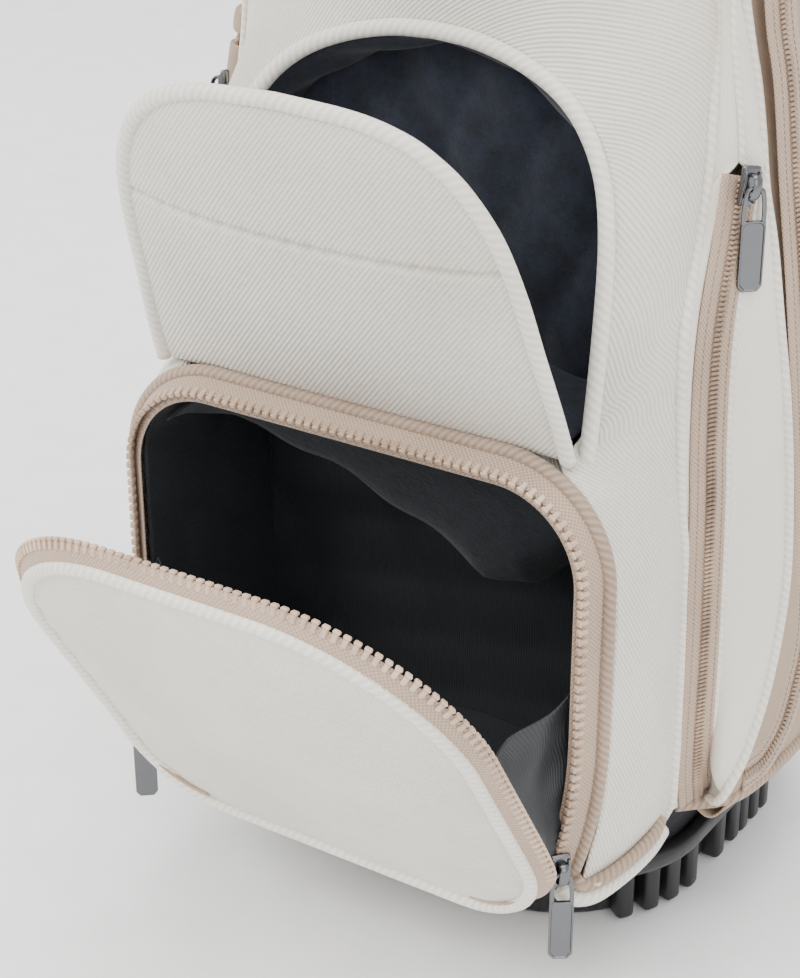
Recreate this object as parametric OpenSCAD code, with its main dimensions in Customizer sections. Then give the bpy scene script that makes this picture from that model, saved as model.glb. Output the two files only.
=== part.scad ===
// Golf staff bag with an insulated cooler pocket, a valuables pocket, side
// pockets, a moulded base and a six-way divided top.
// Units mm, +Z up, front faces -Y, origin at the bottom centre of the base.

/* [Overall] */
// Height of the bag to the top of the collar
bag_h = 890; // [840:1:920]
// Width of the main tube
tube_w = 210; // [190:1:230]
// Depth of the main tube
tube_d = 160; // [140:1:180]
// Y of the centre of the main tube
tube_y = 18; // [0:1:30]

/* [Base] */
// Width of the base at the floor
base_w = 214; // [200:1:230]
// Depth of the base at the floor
base_d = 208; // [190:1:220]
// Width of the base rim
rim_w = 244; // [220:1:250]
// Depth of the base rim
rim_d = 228; // [210:1:240]
// Height of the base rim above the floor
rim_z = 44; // [36:1:56]

/* [Cooler pocket] */
// Half width of the front column over its piping
col_hw = 121; // [110:1:125]
// Y of the front face of the column
col_y = -143; // [-155:1:-130]
// Top of the cooler opening piping
cool_top = 258; // [240:1:270]
// Height of the door hinge line
hinge_z = 66; // [60:1:75]
// Y of the door hinge line
hinge_y = -157.5; // [-165:0.5:-150]
// Rest angle of the cooler door, forward from closed
door_open = 32; // [0:1:45]

/* [Valuables pocket] */
// Half width of the arched opening
val_hw = 92; // [80:1:100]
// Top of the arched opening
val_top = 396; // [360:1:410]
// Backward lean of the opening plane
val_lean = 17; // [5:1:25]
// Rest angle of the flap, forward from upright
flap_open = 19.5; // [-17:0.5:50]
// Length of the flap
flap_len = 145; // [120:1:170]

/* [Zips] */
// Width of a zip tape pair
tape_w = 26; // [20:1:32]
// Length of a metal pull plate
pull_len = 32; // [25:1:40]
// Width of a metal pull plate
pull_w = 10; // [8:0.5:14]

/* [Hidden] */
$fn = 48;

fabric = [0.89, 0.87, 0.83];
tan_c = [0.66, 0.58, 0.51];
black = [0.09, 0.09, 0.1];
navy = [0.09, 0.11, 0.16];
metal = [0.42, 0.43, 0.45];

tube_front = tube_y - tube_d / 2;
tube_back = tube_y + tube_d / 2;
collar_z = bag_h - 48;
pod_front = -98;
pocket_y = -102;             // front of the upper pocket
pod_z0 = 64;
pod_z1 = 640;
chain_x = 112;              // inner half width of the cooler zip chain
val_z = 262;                // bottom of the valuables cavity
slope_y = -131;             // Y of the foot of the upper column's slope
flap_y = slope_y - 6.5;     // flap hinge line
flap_z = 259.5;
cool_slider_z = 84;
front_arc = [[-59, 355], [-78, 240], [-60, 74]];   // front zip, as Y and Z
rear_arc = [[-40, 407], [-14, 200], [-36, 80]];    // rear zip, as Y and Z
pod_fold = [275, 405];      // Z where the pods start and stop narrowing
pod_x = [139, 115];         // half width of the pods below and above
side_tilt = atan2(19, 93);  // tilt of the front zip's upper run
side_slider_pos = [0, -60, 350];

// Centre of the circle through three points.
function circle_mid(p) =
  let (a = p[0], b = p[1], c = p[2],
       d = 2 * (a[0] * (b[1] - c[1]) + b[0] * (c[1] - a[1]) + c[0] * (a[1] - b[1])),
       sa = a * a, sb = b * b, sc = c * c)
  [(sa * (b[1] - c[1]) + sb * (c[1] - a[1]) + sc * (a[1] - b[1])) / d,
   (sa * (c[0] - b[0]) + sb * (a[0] - c[0]) + sc * (b[0] - a[0])) / d];

// Rounded rectangle centred on the origin.
module rrect(w, d, r) {
  square([w - 2 * r, d], center = true);
  square([w, d - 2 * r], center = true);
  for (x = [-1, 1], y = [-1, 1])
    translate([x * (w / 2 - r), y * (d / 2 - r)]) circle(r);
}

// Arched outline in X and Z with its own top and bottom corner radii.
module arch2(hw, z0, z1, rt, rb) {
  intersection() {
    union() {
      translate([-hw, z0 + rb]) square([2 * hw, z1 - rt - z0 - rb]);
      translate([-hw + rb, z0]) square([2 * (hw - rb), rb + 1]);
      translate([-hw + rt, z1 - rt - 1]) square([2 * (hw - rt), rt + 1]);
      for (s = [-1, 1]) {
        translate([s * (hw - rb), z0 + rb]) circle(rb);
        translate([s * (hw - rt), z1 - rt]) circle(rt);
      }
    }
    translate([-hw - 1, z0]) square([2 * hw + 2, z1 - z0]);
  }
}

// Extrude a 2D outline in X and Z from y0 back to y1.
module along_y(y0, y1) {
  translate([0, y1, 0]) rotate([90, 0, 0]) linear_extrude(y1 - y0) children();
}

// Extrude a 2D outline in Y and Z from x0 to x1.
module along_x(x0, x1) {
  translate([x0, 0, 0]) rotate([90, 0, 90]) linear_extrude(x1 - x0) children();
}

// A band that follows the cooler opening: outer and inner half widths.
module cooler_band(hw_out, hw_in, y0, y1) {
  lift = cool_top - col_hw;
  difference() {
    along_y(y0, y1) arch2(hw_out, 56, lift + hw_out, 48 - col_hw + hw_out, 4);
    along_y(y0 - 1, y1 + 1)
      arch2(hw_in, 50, lift + hw_in, 48 - col_hw + hw_in, 4);
    translate([-200, y0 - 1, 0]) cube([400, y1 - y0 + 2, 76]);
  }
}

// Turn the children about the door hinge by the rest angle.
module door_pose() {
  translate([0, hinge_y, hinge_z]) rotate([door_open, 0, 0])
    translate([0, -hinge_y, -hinge_z]) children();
}

// Turn the children about the flap hinge by the rest angle.
module flap_pose() {
  translate([0, flap_y, flap_z]) rotate([flap_open, 0, 0]) children();
}

// A flat ring on the plane X = x0, following the circle through three points.
module arc_band(p, x0, x1, w, z0, z1) {
  m = circle_mid(p);
  r = norm(p[0] - m);
  intersection() {
    along_x(x0, x1) translate(m) difference() {
      circle(r + w / 2, $fn = 180);
      circle(r - w / 2, $fn = 180);
    }
    translate([x0 - 1, m[0] < p[1][0] ? m[0] : m[0] - r - w, z0])
      cube([x1 - x0 + 2, r + w, z1 - z0]);
  }
}

// Region of the side view in front of the rear zip.
module front_region(grow) {
  m = circle_mid(rear_arc);
  r = norm(rear_arc[0] - m);
  translate(m) circle(r + grow, $fn = 180);
  translate([-300, 420]) square([220 + grow, 300]);
}

module base_pan() {
  color(black) difference() {
    union() {
      translate([0, 0, 1.5]) linear_extrude(rim_z - 11.5) {
        rrect(base_w, base_d, 70);
        for (s = [0 : 19]) rotate(s * 18 + 9) base_rib(s * 18 + 9);
      }
      translate([0, 0, rim_z - 12]) linear_extrude(4) rrect(rim_w, rim_d, 60);
      translate([0, 0, rim_z - 12]) linear_extrude(12) difference() {
        rrect(rim_w, rim_d, 60);
        rrect(rim_w - 14, rim_d - 14, 54);
      }
    }
    translate([0, 0, 6]) linear_extrude(rim_z) rrect(base_w - 10, base_d - 10, 65);
  }
}

// One rib of the base on the ray at the given angle.
module base_rib(a) {
  reach = min(112 / max(abs(cos(a)), 0.01), 108 / max(abs(sin(a)), 0.01));
  translate([min(reach, 118) - 22, -6]) square([22, 12]);
}

module foot_pads() {
  color(black) {
    cylinder(h = 1.5, r = 17);
    for (x = [-62, 62], y = [-62, 62]) translate([x, y, 0]) cylinder(h = 1.5, r = 17);
  }
}

module body_tube() {
  color(fabric) translate([0, tube_y, rim_z - 8])
    linear_extrude(collar_z - rim_z + 8) difference() {
      rrect(tube_w, tube_d, 60);
      rrect(tube_w - 6, tube_d - 6, 57);
    }
}

module stay_rods() {
  color(metal) for (x = [-80, 80], y = [-55, 55])
    translate([x, tube_y + y, rim_z - 8]) cylinder(h = collar_z - rim_z + 8, r = 4);
}

module top_collar() {
  color(black) translate([0, tube_y, collar_z]) difference() {
    linear_extrude(bag_h - collar_z) rrect(tube_w + 30, tube_d + 30, 68);
    translate([0, 0, -1]) linear_extrude(bag_h) rrect(tube_w - 6, tube_d - 6, 57);
  }
}

module divider_frame() {
  color(black) translate([0, tube_y, collar_z + 2]) intersection() {
    linear_extrude(42) rrect(tube_w - 6.4, tube_d - 6.4, 56.8);
    union() {
      translate([-4, -90, 0]) cube([8, 180, 42]);
      for (y = [-28, 28]) translate([-110, y - 4, 0]) cube([220, 8, 42]);
    }
  }
}

module divider_sleeves() {
  color(black) {
    translate([-1, tube_front + 4, 60]) cube([2, tube_d - 8, collar_z - 58]);
    for (s = [-1, 1], y = [-28, 28])
      translate([s > 0 ? 1.2 : -101, tube_y + y - 1, 60])
        cube([99.8, 2, collar_z - 58]);
  }
}

module bottom_band() {
  color(black) translate([0, 0, rim_z - 6]) linear_extrude(26) difference() {
    rrect(rim_w - 20, rim_d - 20, 52);
    rrect(rim_w - 26, rim_d - 26, 49);
  }
}

module column_lower() {
  color(fabric) difference() {
    along_y(col_y, pod_front - 1)
      arch2(col_hw, hinge_z, cool_top, 48, 16);
    along_y(col_y - 1, pod_front)
      arch2(chain_x, hinge_z + 6, cool_top - 9, 39, 10);
  }
}

module cooler_liner() {
  color(black) {
    difference() {
      along_y(col_y + 0.5, pod_front - 1) arch2(chain_x - 0.1, hinge_z + 6.1, cool_top - 9.1, 38.9, 9.9);
      along_y(col_y - 1, pod_front) arch2(chain_x - 1.6, hinge_z + 7.6, cool_top - 10.6, 37.4, 8.4);
    }
    difference() {
      along_y(pod_front - 1, tube_front - 0.6) arch2(104, hinge_z + 6.1, cool_top - 9.1, 38.9, 9.9);
      along_y(pod_front - 2, tube_front - 2.6) arch2(102, hinge_z + 8, cool_top - 11, 37, 8);
    }
  }
}

module cooler_ceiling() {
  color(navy) translate([-60, -136, 236]) cube([120, 68, 9]);
}

module cooler_piping() { color(tan_c) cooler_band(col_hw, col_hw - 4.5, col_y - 4.5, col_y); }
module cooler_tape() { color(tan_c) cooler_band(chain_x + 3.8, chain_x + 2.6, col_y - 11, col_y); }
module cooler_teeth() { color(tan_c) cooler_band(chain_x + 4, chain_x + 0.4, col_y - 14, col_y - 11); }

// The side gusset of the cooler mouth, folded against the wall.
module gusset(s) {
  color(black) along_x(s > 0 ? 106.6 : -109.4, s > 0 ? 109.4 : -106.6)
    polygon([[-141, 84], [-141, 160], [-128, 160], [-104, 90], [-104, 84]]);
}
module gussets() { gusset(1); gusset(-1); }

module bottom_piping() {
  color(tan_c) translate([0, 0, hinge_z - 4]) linear_extrude(4) difference() {
    translate([0, -93]) rrect(2 * col_hw - 2, 98, 16);
    translate([0, -93]) rrect(2 * col_hw - 10, 90, 12);
    translate([-150, pod_front - 2]) square([300, 150]);
  }
}

// Side outline of the upper column, moved in from its front by t.
module slope2(t) {
  k = tan(val_lean);
  polygon([[slope_y + t, cool_top], [slope_y + t + (405 - cool_top) * k, 405],
    [-76 + t, 452], [-70 + t, 474], [tube_front - 0.5, 474], [tube_front - 0.5, cool_top]]);
}

module column_upper() {
  color(fabric) difference() {
    union() {
      intersection() {
        along_x(-112, 112) slope2(0);
        translate([-130, -200, 200]) cube([260, 200 + pod_front - 1, 400]);
      }
      along_x(-105.5, 105.5) intersection() {
        slope2(0);
        translate([pod_front - 1, 0]) square([200, 600]);
      }
    }
    along_y(-160, tube_front - 2.5) arch2(val_hw, val_z, val_top, 80, 6);
    magnet_seats(0.1);
  }
}

// Two discs in the rim above the arched opening.
module magnet_seats(c) {
  for (x = [-34, 34]) translate([x, -82.6, 404]) rotate([90 - val_lean, 0, 0])
    translate([0, 0, -c]) cylinder(h = 2.5 + 2 * c, r = 8 + c);
}
module rim_magnets() { color(metal) magnet_seats(0); }

module valuables_liner() {
  color(navy) intersection() {
    along_x(-100, 100) slope2(0.5);
    difference() {
      along_y(-160, tube_front - 2.6) arch2(val_hw - 0.1, val_z + 0.1, val_top - 0.1, 79.9, 5.9);
      along_y(-161, tube_front - 4.2) arch2(val_hw - 1.7, val_z + 1.7, val_top - 1.7, 78.3, 4.3);
    }
  }
}

module valuables_piping() {
  h = (val_top - cool_top) / cos(val_lean);
  color(fabric) translate([0, slope_y, cool_top]) rotate([-val_lean, 0, 0])
    difference() {
      along_y(-3, -0.2) arch2(val_hw + 6, 4, h + 6, 86, 4);
      along_y(-4, 1) arch2(val_hw, -6, h, 80, 4);
      translate([-200, -5, -20]) cube([400, 10, 30]);
    }
}

// Section of the side pocket and rear panel on the right side.
module pod2() {
  polygon([[tube_w / 2 + 1, pod_front], [119, pod_front], [123.4, -86], [123.4, -54],
    [139, -44], [139, 26], [132, 62], [118, 90], [96, 104], [80, 104], [88, tube_back + 0.6],
    [tube_w / 2 + 1, 60]]);
}
module pod_body() {
  difference() {
    intersection() {
      translate([0, 0, pod_z0]) linear_extrude(pod_z1 - pod_z0) pod2();
      along_x(70, 150) translate([3, (pod_z0 + pod_z1) / 2])
        rrect(220, pod_z1 - pod_z0, 34);
      along_y(-110, 120) polygon([[60, 60], [pod_x[0], 60], [pod_x[0], pod_fold[0]],
        [pod_x[1], pod_fold[1]], [pod_x[1], 650], [60, 650]]);
    }
    arc_band(front_arc, 123.4, 150, tape_w + 0.6, 71, 363);
  }
}
module side_pod() {
  color(fabric) intersection() {
    pod_body();
    along_x(60, 160) front_region(0);
  }
}
module rear_panel() {
  color(tan_c) difference() {
    pod_body();
    along_x(60, 160) front_region(0.3);
  }
}
module side_pod_right() { side_pod(); }
module side_pod_left() { mirror([1, 0, 0]) side_pod(); }
module rear_panel_right() { rear_panel(); }
module rear_panel_left() { mirror([1, 0, 0]) rear_panel(); }

module front_zip() {
  color(tan_c) {
    arc_band(front_arc, 123.5, 124.7, tape_w, 72, 362);
    arc_band(front_arc, 124.7, 126.7, 6, 74, 358);
  }
}
module rear_zip() {
  run = norm([pod_x[0] - pod_x[1], pod_fold[1] - pod_fold[0]]);
  lean = atan2(pod_x[0] - pod_x[1], pod_fold[1] - pod_fold[0]);
  color(tan_c) {
    rear_run(80, pod_fold[0]);
    translate([139.1, 0, pod_fold[0]]) rotate([0, -lean, 0])
      translate([-139.1, 0, -pod_fold[0]])
      rear_run(pod_fold[0] + 0.4, pod_fold[0] + run);
    translate([pod_x[1] + 0.1, -53, pod_fold[1] + 0.8]) cube([1.2, tape_w, 195]);
    translate([pod_x[1] + 1.3, -43, pod_fold[1] + 0.8]) cube([2, 6, 190]);
  }
}
module rear_run(z0, z1) {
  arc_band(rear_arc, 139.1, 140.3, tape_w, z0, z1);
  arc_band(rear_arc, 140.3, 142.3, 6, max(z0, 82), z1);
}
module front_zips() { front_zip(); mirror([1, 0, 0]) front_zip(); }
module rear_zips() { rear_zip(); mirror([1, 0, 0]) rear_zip(); }

module upper_pocket() {
  depth = tube_front - pocket_y - 0.5;
  color(fabric) translate([0, pocket_y + depth / 2, 482]) intersection() {
    linear_extrude(300) rrect(190, depth, 18);
    along_y(-40, 40) translate([0, 150]) rrect(190, 300, 30);
  }
}
module upper_zip() {
  color(tan_c) {
    translate([-70, -103.4, 742]) cube([140, 1.2, 24]);
    translate([-68, -105.4, 751]) cube([136, 2, 6]);
  }
}

module back_pad() {
  color(fabric) translate([0, tube_back + 8.4, 90]) linear_extrude(690) rrect(130, 14, 6);
}
module shoulder_strap() {
  color(black) {
    translate([-30, tube_back + 17, 430]) cube([60, 12, 300]);
    translate([-19, tube_back + 18, 330]) cube([38, 3, 100]);
    translate([-19, tube_back + 18, 730]) cube([38, 3, 30]);
  }
}
module strap_rings() {
  color(metal) for (z = [322, 768]) translate([0, tube_back + 19.5, z])
    rotate([90, 0, 0]) difference() {
      translate([0, 0, -1.5]) linear_extrude(3) rrect(48, 16, 5);
      translate([0, 0, -3]) linear_extrude(6) rrect(40, 8, 2);
    }
}

module lift_handle() {
  color(black) translate([0, tube_back + 15, collar_z + 14]) difference() {
    translate([-62, 0.2, 0]) cube([124, 42, 18]);
    translate([-48, -1, -1]) cube([96, 29, 20]);
  }
}

module ring_bracket() {
  color(black) difference() {
    translate([-120, -8, 708]) cube([14.8, 16, 16]);
    translate([-116.5, -9, 713]) cube([8.5, 18, 7.5]);
  }
}
module towel_ring() {
  color(metal) translate([-112, 0, 701]) rotate([0, 90, 0])
    rotate_extrude($fn = 64) translate([17, 0]) circle(1.8, $fn = 24);
}

module door_panel() {
  color(fabric) door_pose() along_y(-182, -173) arch2(109, 70, 246, 40, 18);
}
module door_liner() {
  color(black) door_pose() along_y(-172.9, -171.7) arch2(107, 72, 244, 38, 16);
}
module door_piping() {
  color(fabric) door_pose() difference() {
    along_y(-178, -173) arch2(113.5, 66, 250.5, 44.5, 22);
    along_y(-180, -170) arch2(109.2, 69.8, 246.2, 40.2, 18.2);
  }
}
module door_tape() { color(tan_c) door_pose() cooler_band(chain_x + 3.8, chain_x + 2.6, -172.8, -162); }
module door_teeth() { color(tan_c) door_pose() cooler_band(chain_x + 4, chain_x + 0.4, -162, -159); }

module flap_panel() {
  color(fabric) flap_pose() difference() {
    along_y(-6.4, -1.7) arch2(93, 6, flap_len - 4, 78, 4);
    flap_seats(0.1);
  }
}
module flap_liner() { color(navy) flap_pose() along_y(-1.6, -0.4) arch2(91, 7, flap_len - 6, 76, 4); }
module flap_piping() {
  color(fabric) flap_pose() difference() {
    along_y(-6, -1.5) arch2(97, 6, flap_len, 82, 4);
    along_y(-8, 0) arch2(93.2, -10, flap_len - 3.8, 78.2, 4);
  }
}
// Two discs inside the flap, near its free edge.
module flap_seats(c) {
  for (x = [-34, 34]) translate([x, -2.4 + c, flap_len - 15]) rotate([90, 0, 0])
    cylinder(h = 2.5 + 2 * c, r = 8 + c);
}
module flap_magnets() { color(metal) flap_pose() flap_seats(0); }

// Zip slider: a plate on the plane X = 0 with a bridge for its pull.
module slider(w, l) {
  translate([0, -w / 2, -l / 2]) cube([3, w, l]);
  translate([2.9, 0, 0]) difference() {
    translate([0, -2, -4]) cube([4.4, 4, 8]);
    translate([-0.5, -3, -1.8]) cube([3.6, 6, 3.6]);
  }
}
// Metal pull hanging from a bar on the Y axis.
module pull() {
  rotate([90, 0, 0]) translate([0, 0, -pull_w / 2]) cylinder(h = pull_w, r = 0.9, $fn = 24);
  for (y = [-1, 1]) translate([-0.8, y * (pull_w / 2 - 0.8) - 0.8, -12])
    cube([1.6, 1.6, 12]);
  translate([-0.8, 0, -10]) difference() {
    rotate([90, 0, 90]) linear_extrude(1.6)
      translate([0, -pull_len / 2]) rrect(pull_w, pull_len, 2);
    translate([-1, -2.2, -4]) cube([4, 4.4, 3]);
  }
}
module cooler_slider_right() { color(metal) translate([117.4, hinge_y, cool_slider_z]) slider(9, 16); }
module cooler_slider_left() { mirror([1, 0, 0]) cooler_slider_right(); }
module cooler_pull_right() { color(metal) translate([121.9, hinge_y, cool_slider_z]) pull(); }
module cooler_pull_left() { mirror([1, 0, 0]) cooler_pull_right(); }

module side_slider_right() {
  color(metal) translate(side_slider_pos + [127.2, 0, 0]) rotate([-side_tilt, 0, 0]) slider(9, 16);
}
module side_slider_left() { mirror([1, 0, 0]) side_slider_right(); }
module side_pull_right() { color(metal) translate(side_slider_pos + [131.7, 0, 0]) pull(); }
module side_pull_left() { mirror([1, 0, 0]) side_pull_right(); }

module rear_slider_right() { color(metal) translate([118.8, -40, 588]) slider(9, 16); }
module rear_slider_left() { color(metal) translate([-118.8, -40, 414]) mirror([1, 0, 0]) slider(9, 16); }

// Cord loop of a puller, hanging from a bar on the Y axis.
module cord_loop() {
  rotate([90, 0, 0]) translate([0, 0, -4.5]) cylinder(h = 9, r = 1.1, $fn = 24);
  for (y = [-1, 1]) translate([0, y * 3.5, -32.8]) cylinder(h = 32.8, r = 1.1, $fn = 16);
  for (y = [-1, 1]) translate([0, y * 2, -49.8]) cylinder(h = 4.6, r = 1.1, $fn = 16);
}
// Bead and moulded grip of a puller.
module cord_grip() {
  translate([0, 0, -45]) cylinder(h = 12, r = 5.5, $fn = 32);
  translate([0, 0, -84]) cylinder(h = 34, r = 6, $fn = 32);
}
// Place a puller on its slider's bridge, leaning away from the bag.
module on_rear_right() { translate([123, -40, 588]) rotate([0, -5, 0]) children(); }
module on_rear_left() { translate([-123, -40, 414]) rotate([0, 11, 0]) children(); }
module cord_loop_right() { color(tan_c) on_rear_right() cord_loop(); }
module cord_loop_left() { color(tan_c) on_rear_left() cord_loop(); }
module cord_grip_right() { color(tan_c) on_rear_right() cord_grip(); }
module cord_grip_left() { color(tan_c) on_rear_left() cord_grip(); }

// The upper pocket's slider faces forward; its pull hangs down.
module upper_slider() {
  color(metal) translate([54, -105.8, 754]) rotate(-90) slider(16, 9);
}
module upper_pull() { color(metal) translate([54, -110.3, 754]) rotate(-90) pull(); }

base_pan();
foot_pads();
body_tube();
stay_rods();
top_collar();
divider_frame();
divider_sleeves();
bottom_band();
column_lower();
cooler_liner();
cooler_ceiling();
cooler_piping();
cooler_tape();
cooler_teeth();
gussets();
bottom_piping();
column_upper();
valuables_liner();
valuables_piping();
rim_magnets();
side_pod_right();
side_pod_left();
rear_panel_right();
rear_panel_left();
front_zips();
rear_zips();
upper_pocket();
upper_zip();
back_pad();
shoulder_strap();
strap_rings();
lift_handle();
ring_bracket();
door_panel();
door_liner();
door_piping();
door_tape();
door_teeth();
flap_panel();
flap_liner();
flap_piping();
flap_magnets();
cooler_slider_right();
cooler_slider_left();
cooler_pull_right();
cooler_pull_left();
side_slider_right();
side_slider_left();
side_pull_right();
side_pull_left();
rear_slider_right();
rear_slider_left();
cord_loop_right();
cord_loop_left();
cord_grip_right();
cord_grip_left();
upper_slider();
upper_pull();
towel_ring();
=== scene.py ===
"""Looks of a golf staff bag: twill shell, cooler door, valuables flap, zips, base and top.

Sizes are millimetres unless a comment says metres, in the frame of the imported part: X to the bag's
right, -Y to its front and Z up. Meshes are stored in metres.
"""

import logging
import math
from dataclasses import dataclass
from enum import Enum
from functools import lru_cache
from typing import Callable, Sequence

import bpy
import numpy as np
from mathutils import Matrix, Vector


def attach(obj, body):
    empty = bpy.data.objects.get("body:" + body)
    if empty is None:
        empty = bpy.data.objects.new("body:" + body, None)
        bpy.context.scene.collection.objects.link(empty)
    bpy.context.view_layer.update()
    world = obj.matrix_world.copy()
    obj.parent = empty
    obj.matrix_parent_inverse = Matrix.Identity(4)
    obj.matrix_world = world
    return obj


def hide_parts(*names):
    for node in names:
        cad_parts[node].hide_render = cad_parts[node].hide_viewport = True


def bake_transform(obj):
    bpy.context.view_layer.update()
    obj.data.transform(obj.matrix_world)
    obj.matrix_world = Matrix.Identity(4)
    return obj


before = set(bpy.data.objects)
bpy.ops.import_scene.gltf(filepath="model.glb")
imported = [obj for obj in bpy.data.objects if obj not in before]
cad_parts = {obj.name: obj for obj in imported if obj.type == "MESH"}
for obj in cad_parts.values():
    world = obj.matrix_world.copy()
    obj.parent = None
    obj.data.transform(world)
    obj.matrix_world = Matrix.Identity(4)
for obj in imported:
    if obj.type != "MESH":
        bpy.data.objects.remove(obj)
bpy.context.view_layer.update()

LOG = logging.getLogger("staff_bag")
MM = 0.001
Points = np.ndarray
Thing = bpy.types.Object
Socket = bpy.types.NodeSocket
Triple = tuple[float, float, float]
Rule = Callable[[np.ndarray, np.ndarray], tuple[np.ndarray, np.ndarray]]

TOOTH_PITCH = 4.2
COIL_PITCH = 2.0
TAPE_THICK = 1.3
CLOTH = 1.0
NYLON = 0.6
DOOR_OPEN = 32.0
FLAP_OPEN = 19.5
# The front of the upper column leans back by this much.
LEAN = math.radians(17)
SLOPE_OUT = (0.0, -math.cos(LEAN), math.sin(LEAN))
# (y, z) of the two cloth hinges.
DOOR_HINGE = (-157.5, 66.0)
FLAP_HINGE = (-137.5, 259.5)


class Side(Enum):
    """The side of the bag that a mirrored piece is on."""

    RIGHT = 1
    LEFT = -1


# ---------------------------------------------------------------- finishes


def linear(code: str) -> tuple[float, float, float, float]:
    """Turn six sRGB hex digits into linear RGBA."""
    part = [int(code[i : i + 2], 16) / 255 for i in (0, 2, 4)]
    flat = [c / 12.92 if c <= 0.04045 else ((c + 0.055) / 1.055) ** 2.4 for c in part]
    return (flat[0], flat[1], flat[2], 1.0)


@dataclass(frozen=True)
class Finish:
    """What every finish has: a name, two tones, a shader and its surface numbers."""

    name: str
    low: str
    high: str
    rough: float = 0.8
    metal: float = 0.0
    sheen: float = 0.0
    coat: float = 0.0

    def make(self) -> bpy.types.Material:
        """Build the material: constants first, then the pattern of its kind."""
        material = bpy.data.materials.new(self.name)
        material.use_nodes = True
        material.diffuse_color = linear(self.high)
        net = Net(material.node_tree)
        values = {
            "Roughness": self.rough,
            "Metallic": self.metal,
            "Coat Weight": self.coat,
            "Sheen Weight": self.sheen,
            "Sheen Roughness": 0.45,
            "Base Color": linear(self.high),
        }
        for key, value in values.items():
            net.shader.inputs[key].default_value = value
        self.pattern(net)
        return material

    def pattern(self, net: "Net") -> None:
        """Add what varies over the surface; a plain finish has nothing."""


class Net:
    """A node tree with the few kinds of link that the finishes share."""

    def __init__(self, tree: bpy.types.NodeTree) -> None:
        self.tree = tree
        self.shader = tree.nodes["Principled BSDF"]

    def add(self, kind: str, wires: dict | None = None, **settings: object) -> bpy.types.Node:
        """Add one shader node with its settings and links.

        Args:
            kind: Node type without the ShaderNode prefix.
            wires: Input name or index to a socket to link, or to a constant.
            **settings: Attributes of the node.

        Returns:
            The new node.
        """
        made = self.tree.nodes.new("ShaderNode" + kind)
        for key, value in settings.items():
            setattr(made, key, value)
        for key, value in (wires or {}).items():
            if isinstance(value, bpy.types.NodeSocket):
                self.tree.links.new(value, made.inputs[key])
            else:
                made.inputs[key].default_value = value
        return made

    def noise(self, scale: float, detail: float, where: Socket | None = None) -> Socket:
        """Noise over the object's own space, or over the given coordinates."""
        if where is None:
            where = self.add("TexCoord").outputs["Object"]
        return self.add("TexNoise", {"Vector": where, "Scale": scale, "Detail": detail}).outputs["Fac"]

    def math(self, operation: str, *values: object) -> Socket:
        """One arithmetic step."""
        return self.add("Math", dict(enumerate(values)), operation=operation).outputs[0]

    def tone(self, factor: Socket, low: str, high: str, at: tuple[float, float]) -> None:
        """Colour the surface from one hex tone to another by a factor."""
        made = self.add("ValToRGB", {"Fac": factor})
        for stop, place, code in zip(made.color_ramp.elements, at, (low, high)):
            stop.position, stop.color = place, linear(code)
        self.tree.links.new(made.outputs["Color"], self.shader.inputs["Base Color"])

    def bump(self, height: Socket, depth_mm: float, strength: float) -> None:
        """Raise the surface by a height."""
        made = self.add("Bump", {"Height": height, "Distance": depth_mm * MM, "Strength": strength})
        self.tree.links.new(made.outputs[0], self.shader.inputs["Normal"])

    def worn(self, factor: Socket, least: float, most: float) -> None:
        """Let the roughness vary between two values."""
        made = self.add("MapRange", {"Value": factor, "To Min": least, "To Max": most})
        self.tree.links.new(made.outputs[0], self.shader.inputs["Roughness"])


@dataclass(frozen=True)
class Weave(Finish):
    """A woven cloth read from the piece's own UV in metres; its ribs catch the light, and their light and shade are
    also painted into its colour.
    """

    rib_mm: float = 2.2
    angle: float = 38.0
    depth_mm: float = 0.3
    thread_mm: float = 0.5
    cross: bool = False

    def ribs(self, net: Net, uv: Socket, angle: float, more: dict) -> Socket:
        """Parallel ribs at their real pitch; a wave texture repeats every pi / 10 at scale 1."""
        turned = net.add("Mapping", {"Vector": uv, "Rotation": (0, 0, math.radians(angle))})
        scale = 0.314159 / (self.rib_mm * MM)
        return net.add("TexWave", {"Vector": turned.outputs[0], "Scale": scale, **more}).outputs["Fac"]

    def pattern(self, net: Net) -> None:
        """Ribs and a fine thread grain, whose height also paints highlight on the crests and shade in the hollows,
        and a soft uneven tone.
        """
        uv = net.add("UVMap").outputs[0]
        height = self.ribs(net, uv, self.angle, {"Distortion": 0.25, "Detail": 1.0, "Detail Scale": 3.0})
        height = net.math("ADD", height, net.noise(1 / (self.thread_mm * MM * 2), 2.0, uv))
        if self.cross:
            height = net.math("ADD", height, self.ribs(net, uv, -self.angle, {"Distortion": 0.2}))
        # Painted light and shade: rib and thread height lightens the colour on the crests and darkens it in the
        # hollows, mixed with a soft random tone.
        uneven_tone_and_rib_shade = net.math("MULTIPLY_ADD", net.noise(14.0, 3.0), 0.5, net.math("MULTIPLY", height, 0.30))
        net.tone(uneven_tone_and_rib_shade, self.low, self.high, (0.2, 0.85))
        net.bump(height, self.depth_mm, 0.8)


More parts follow.
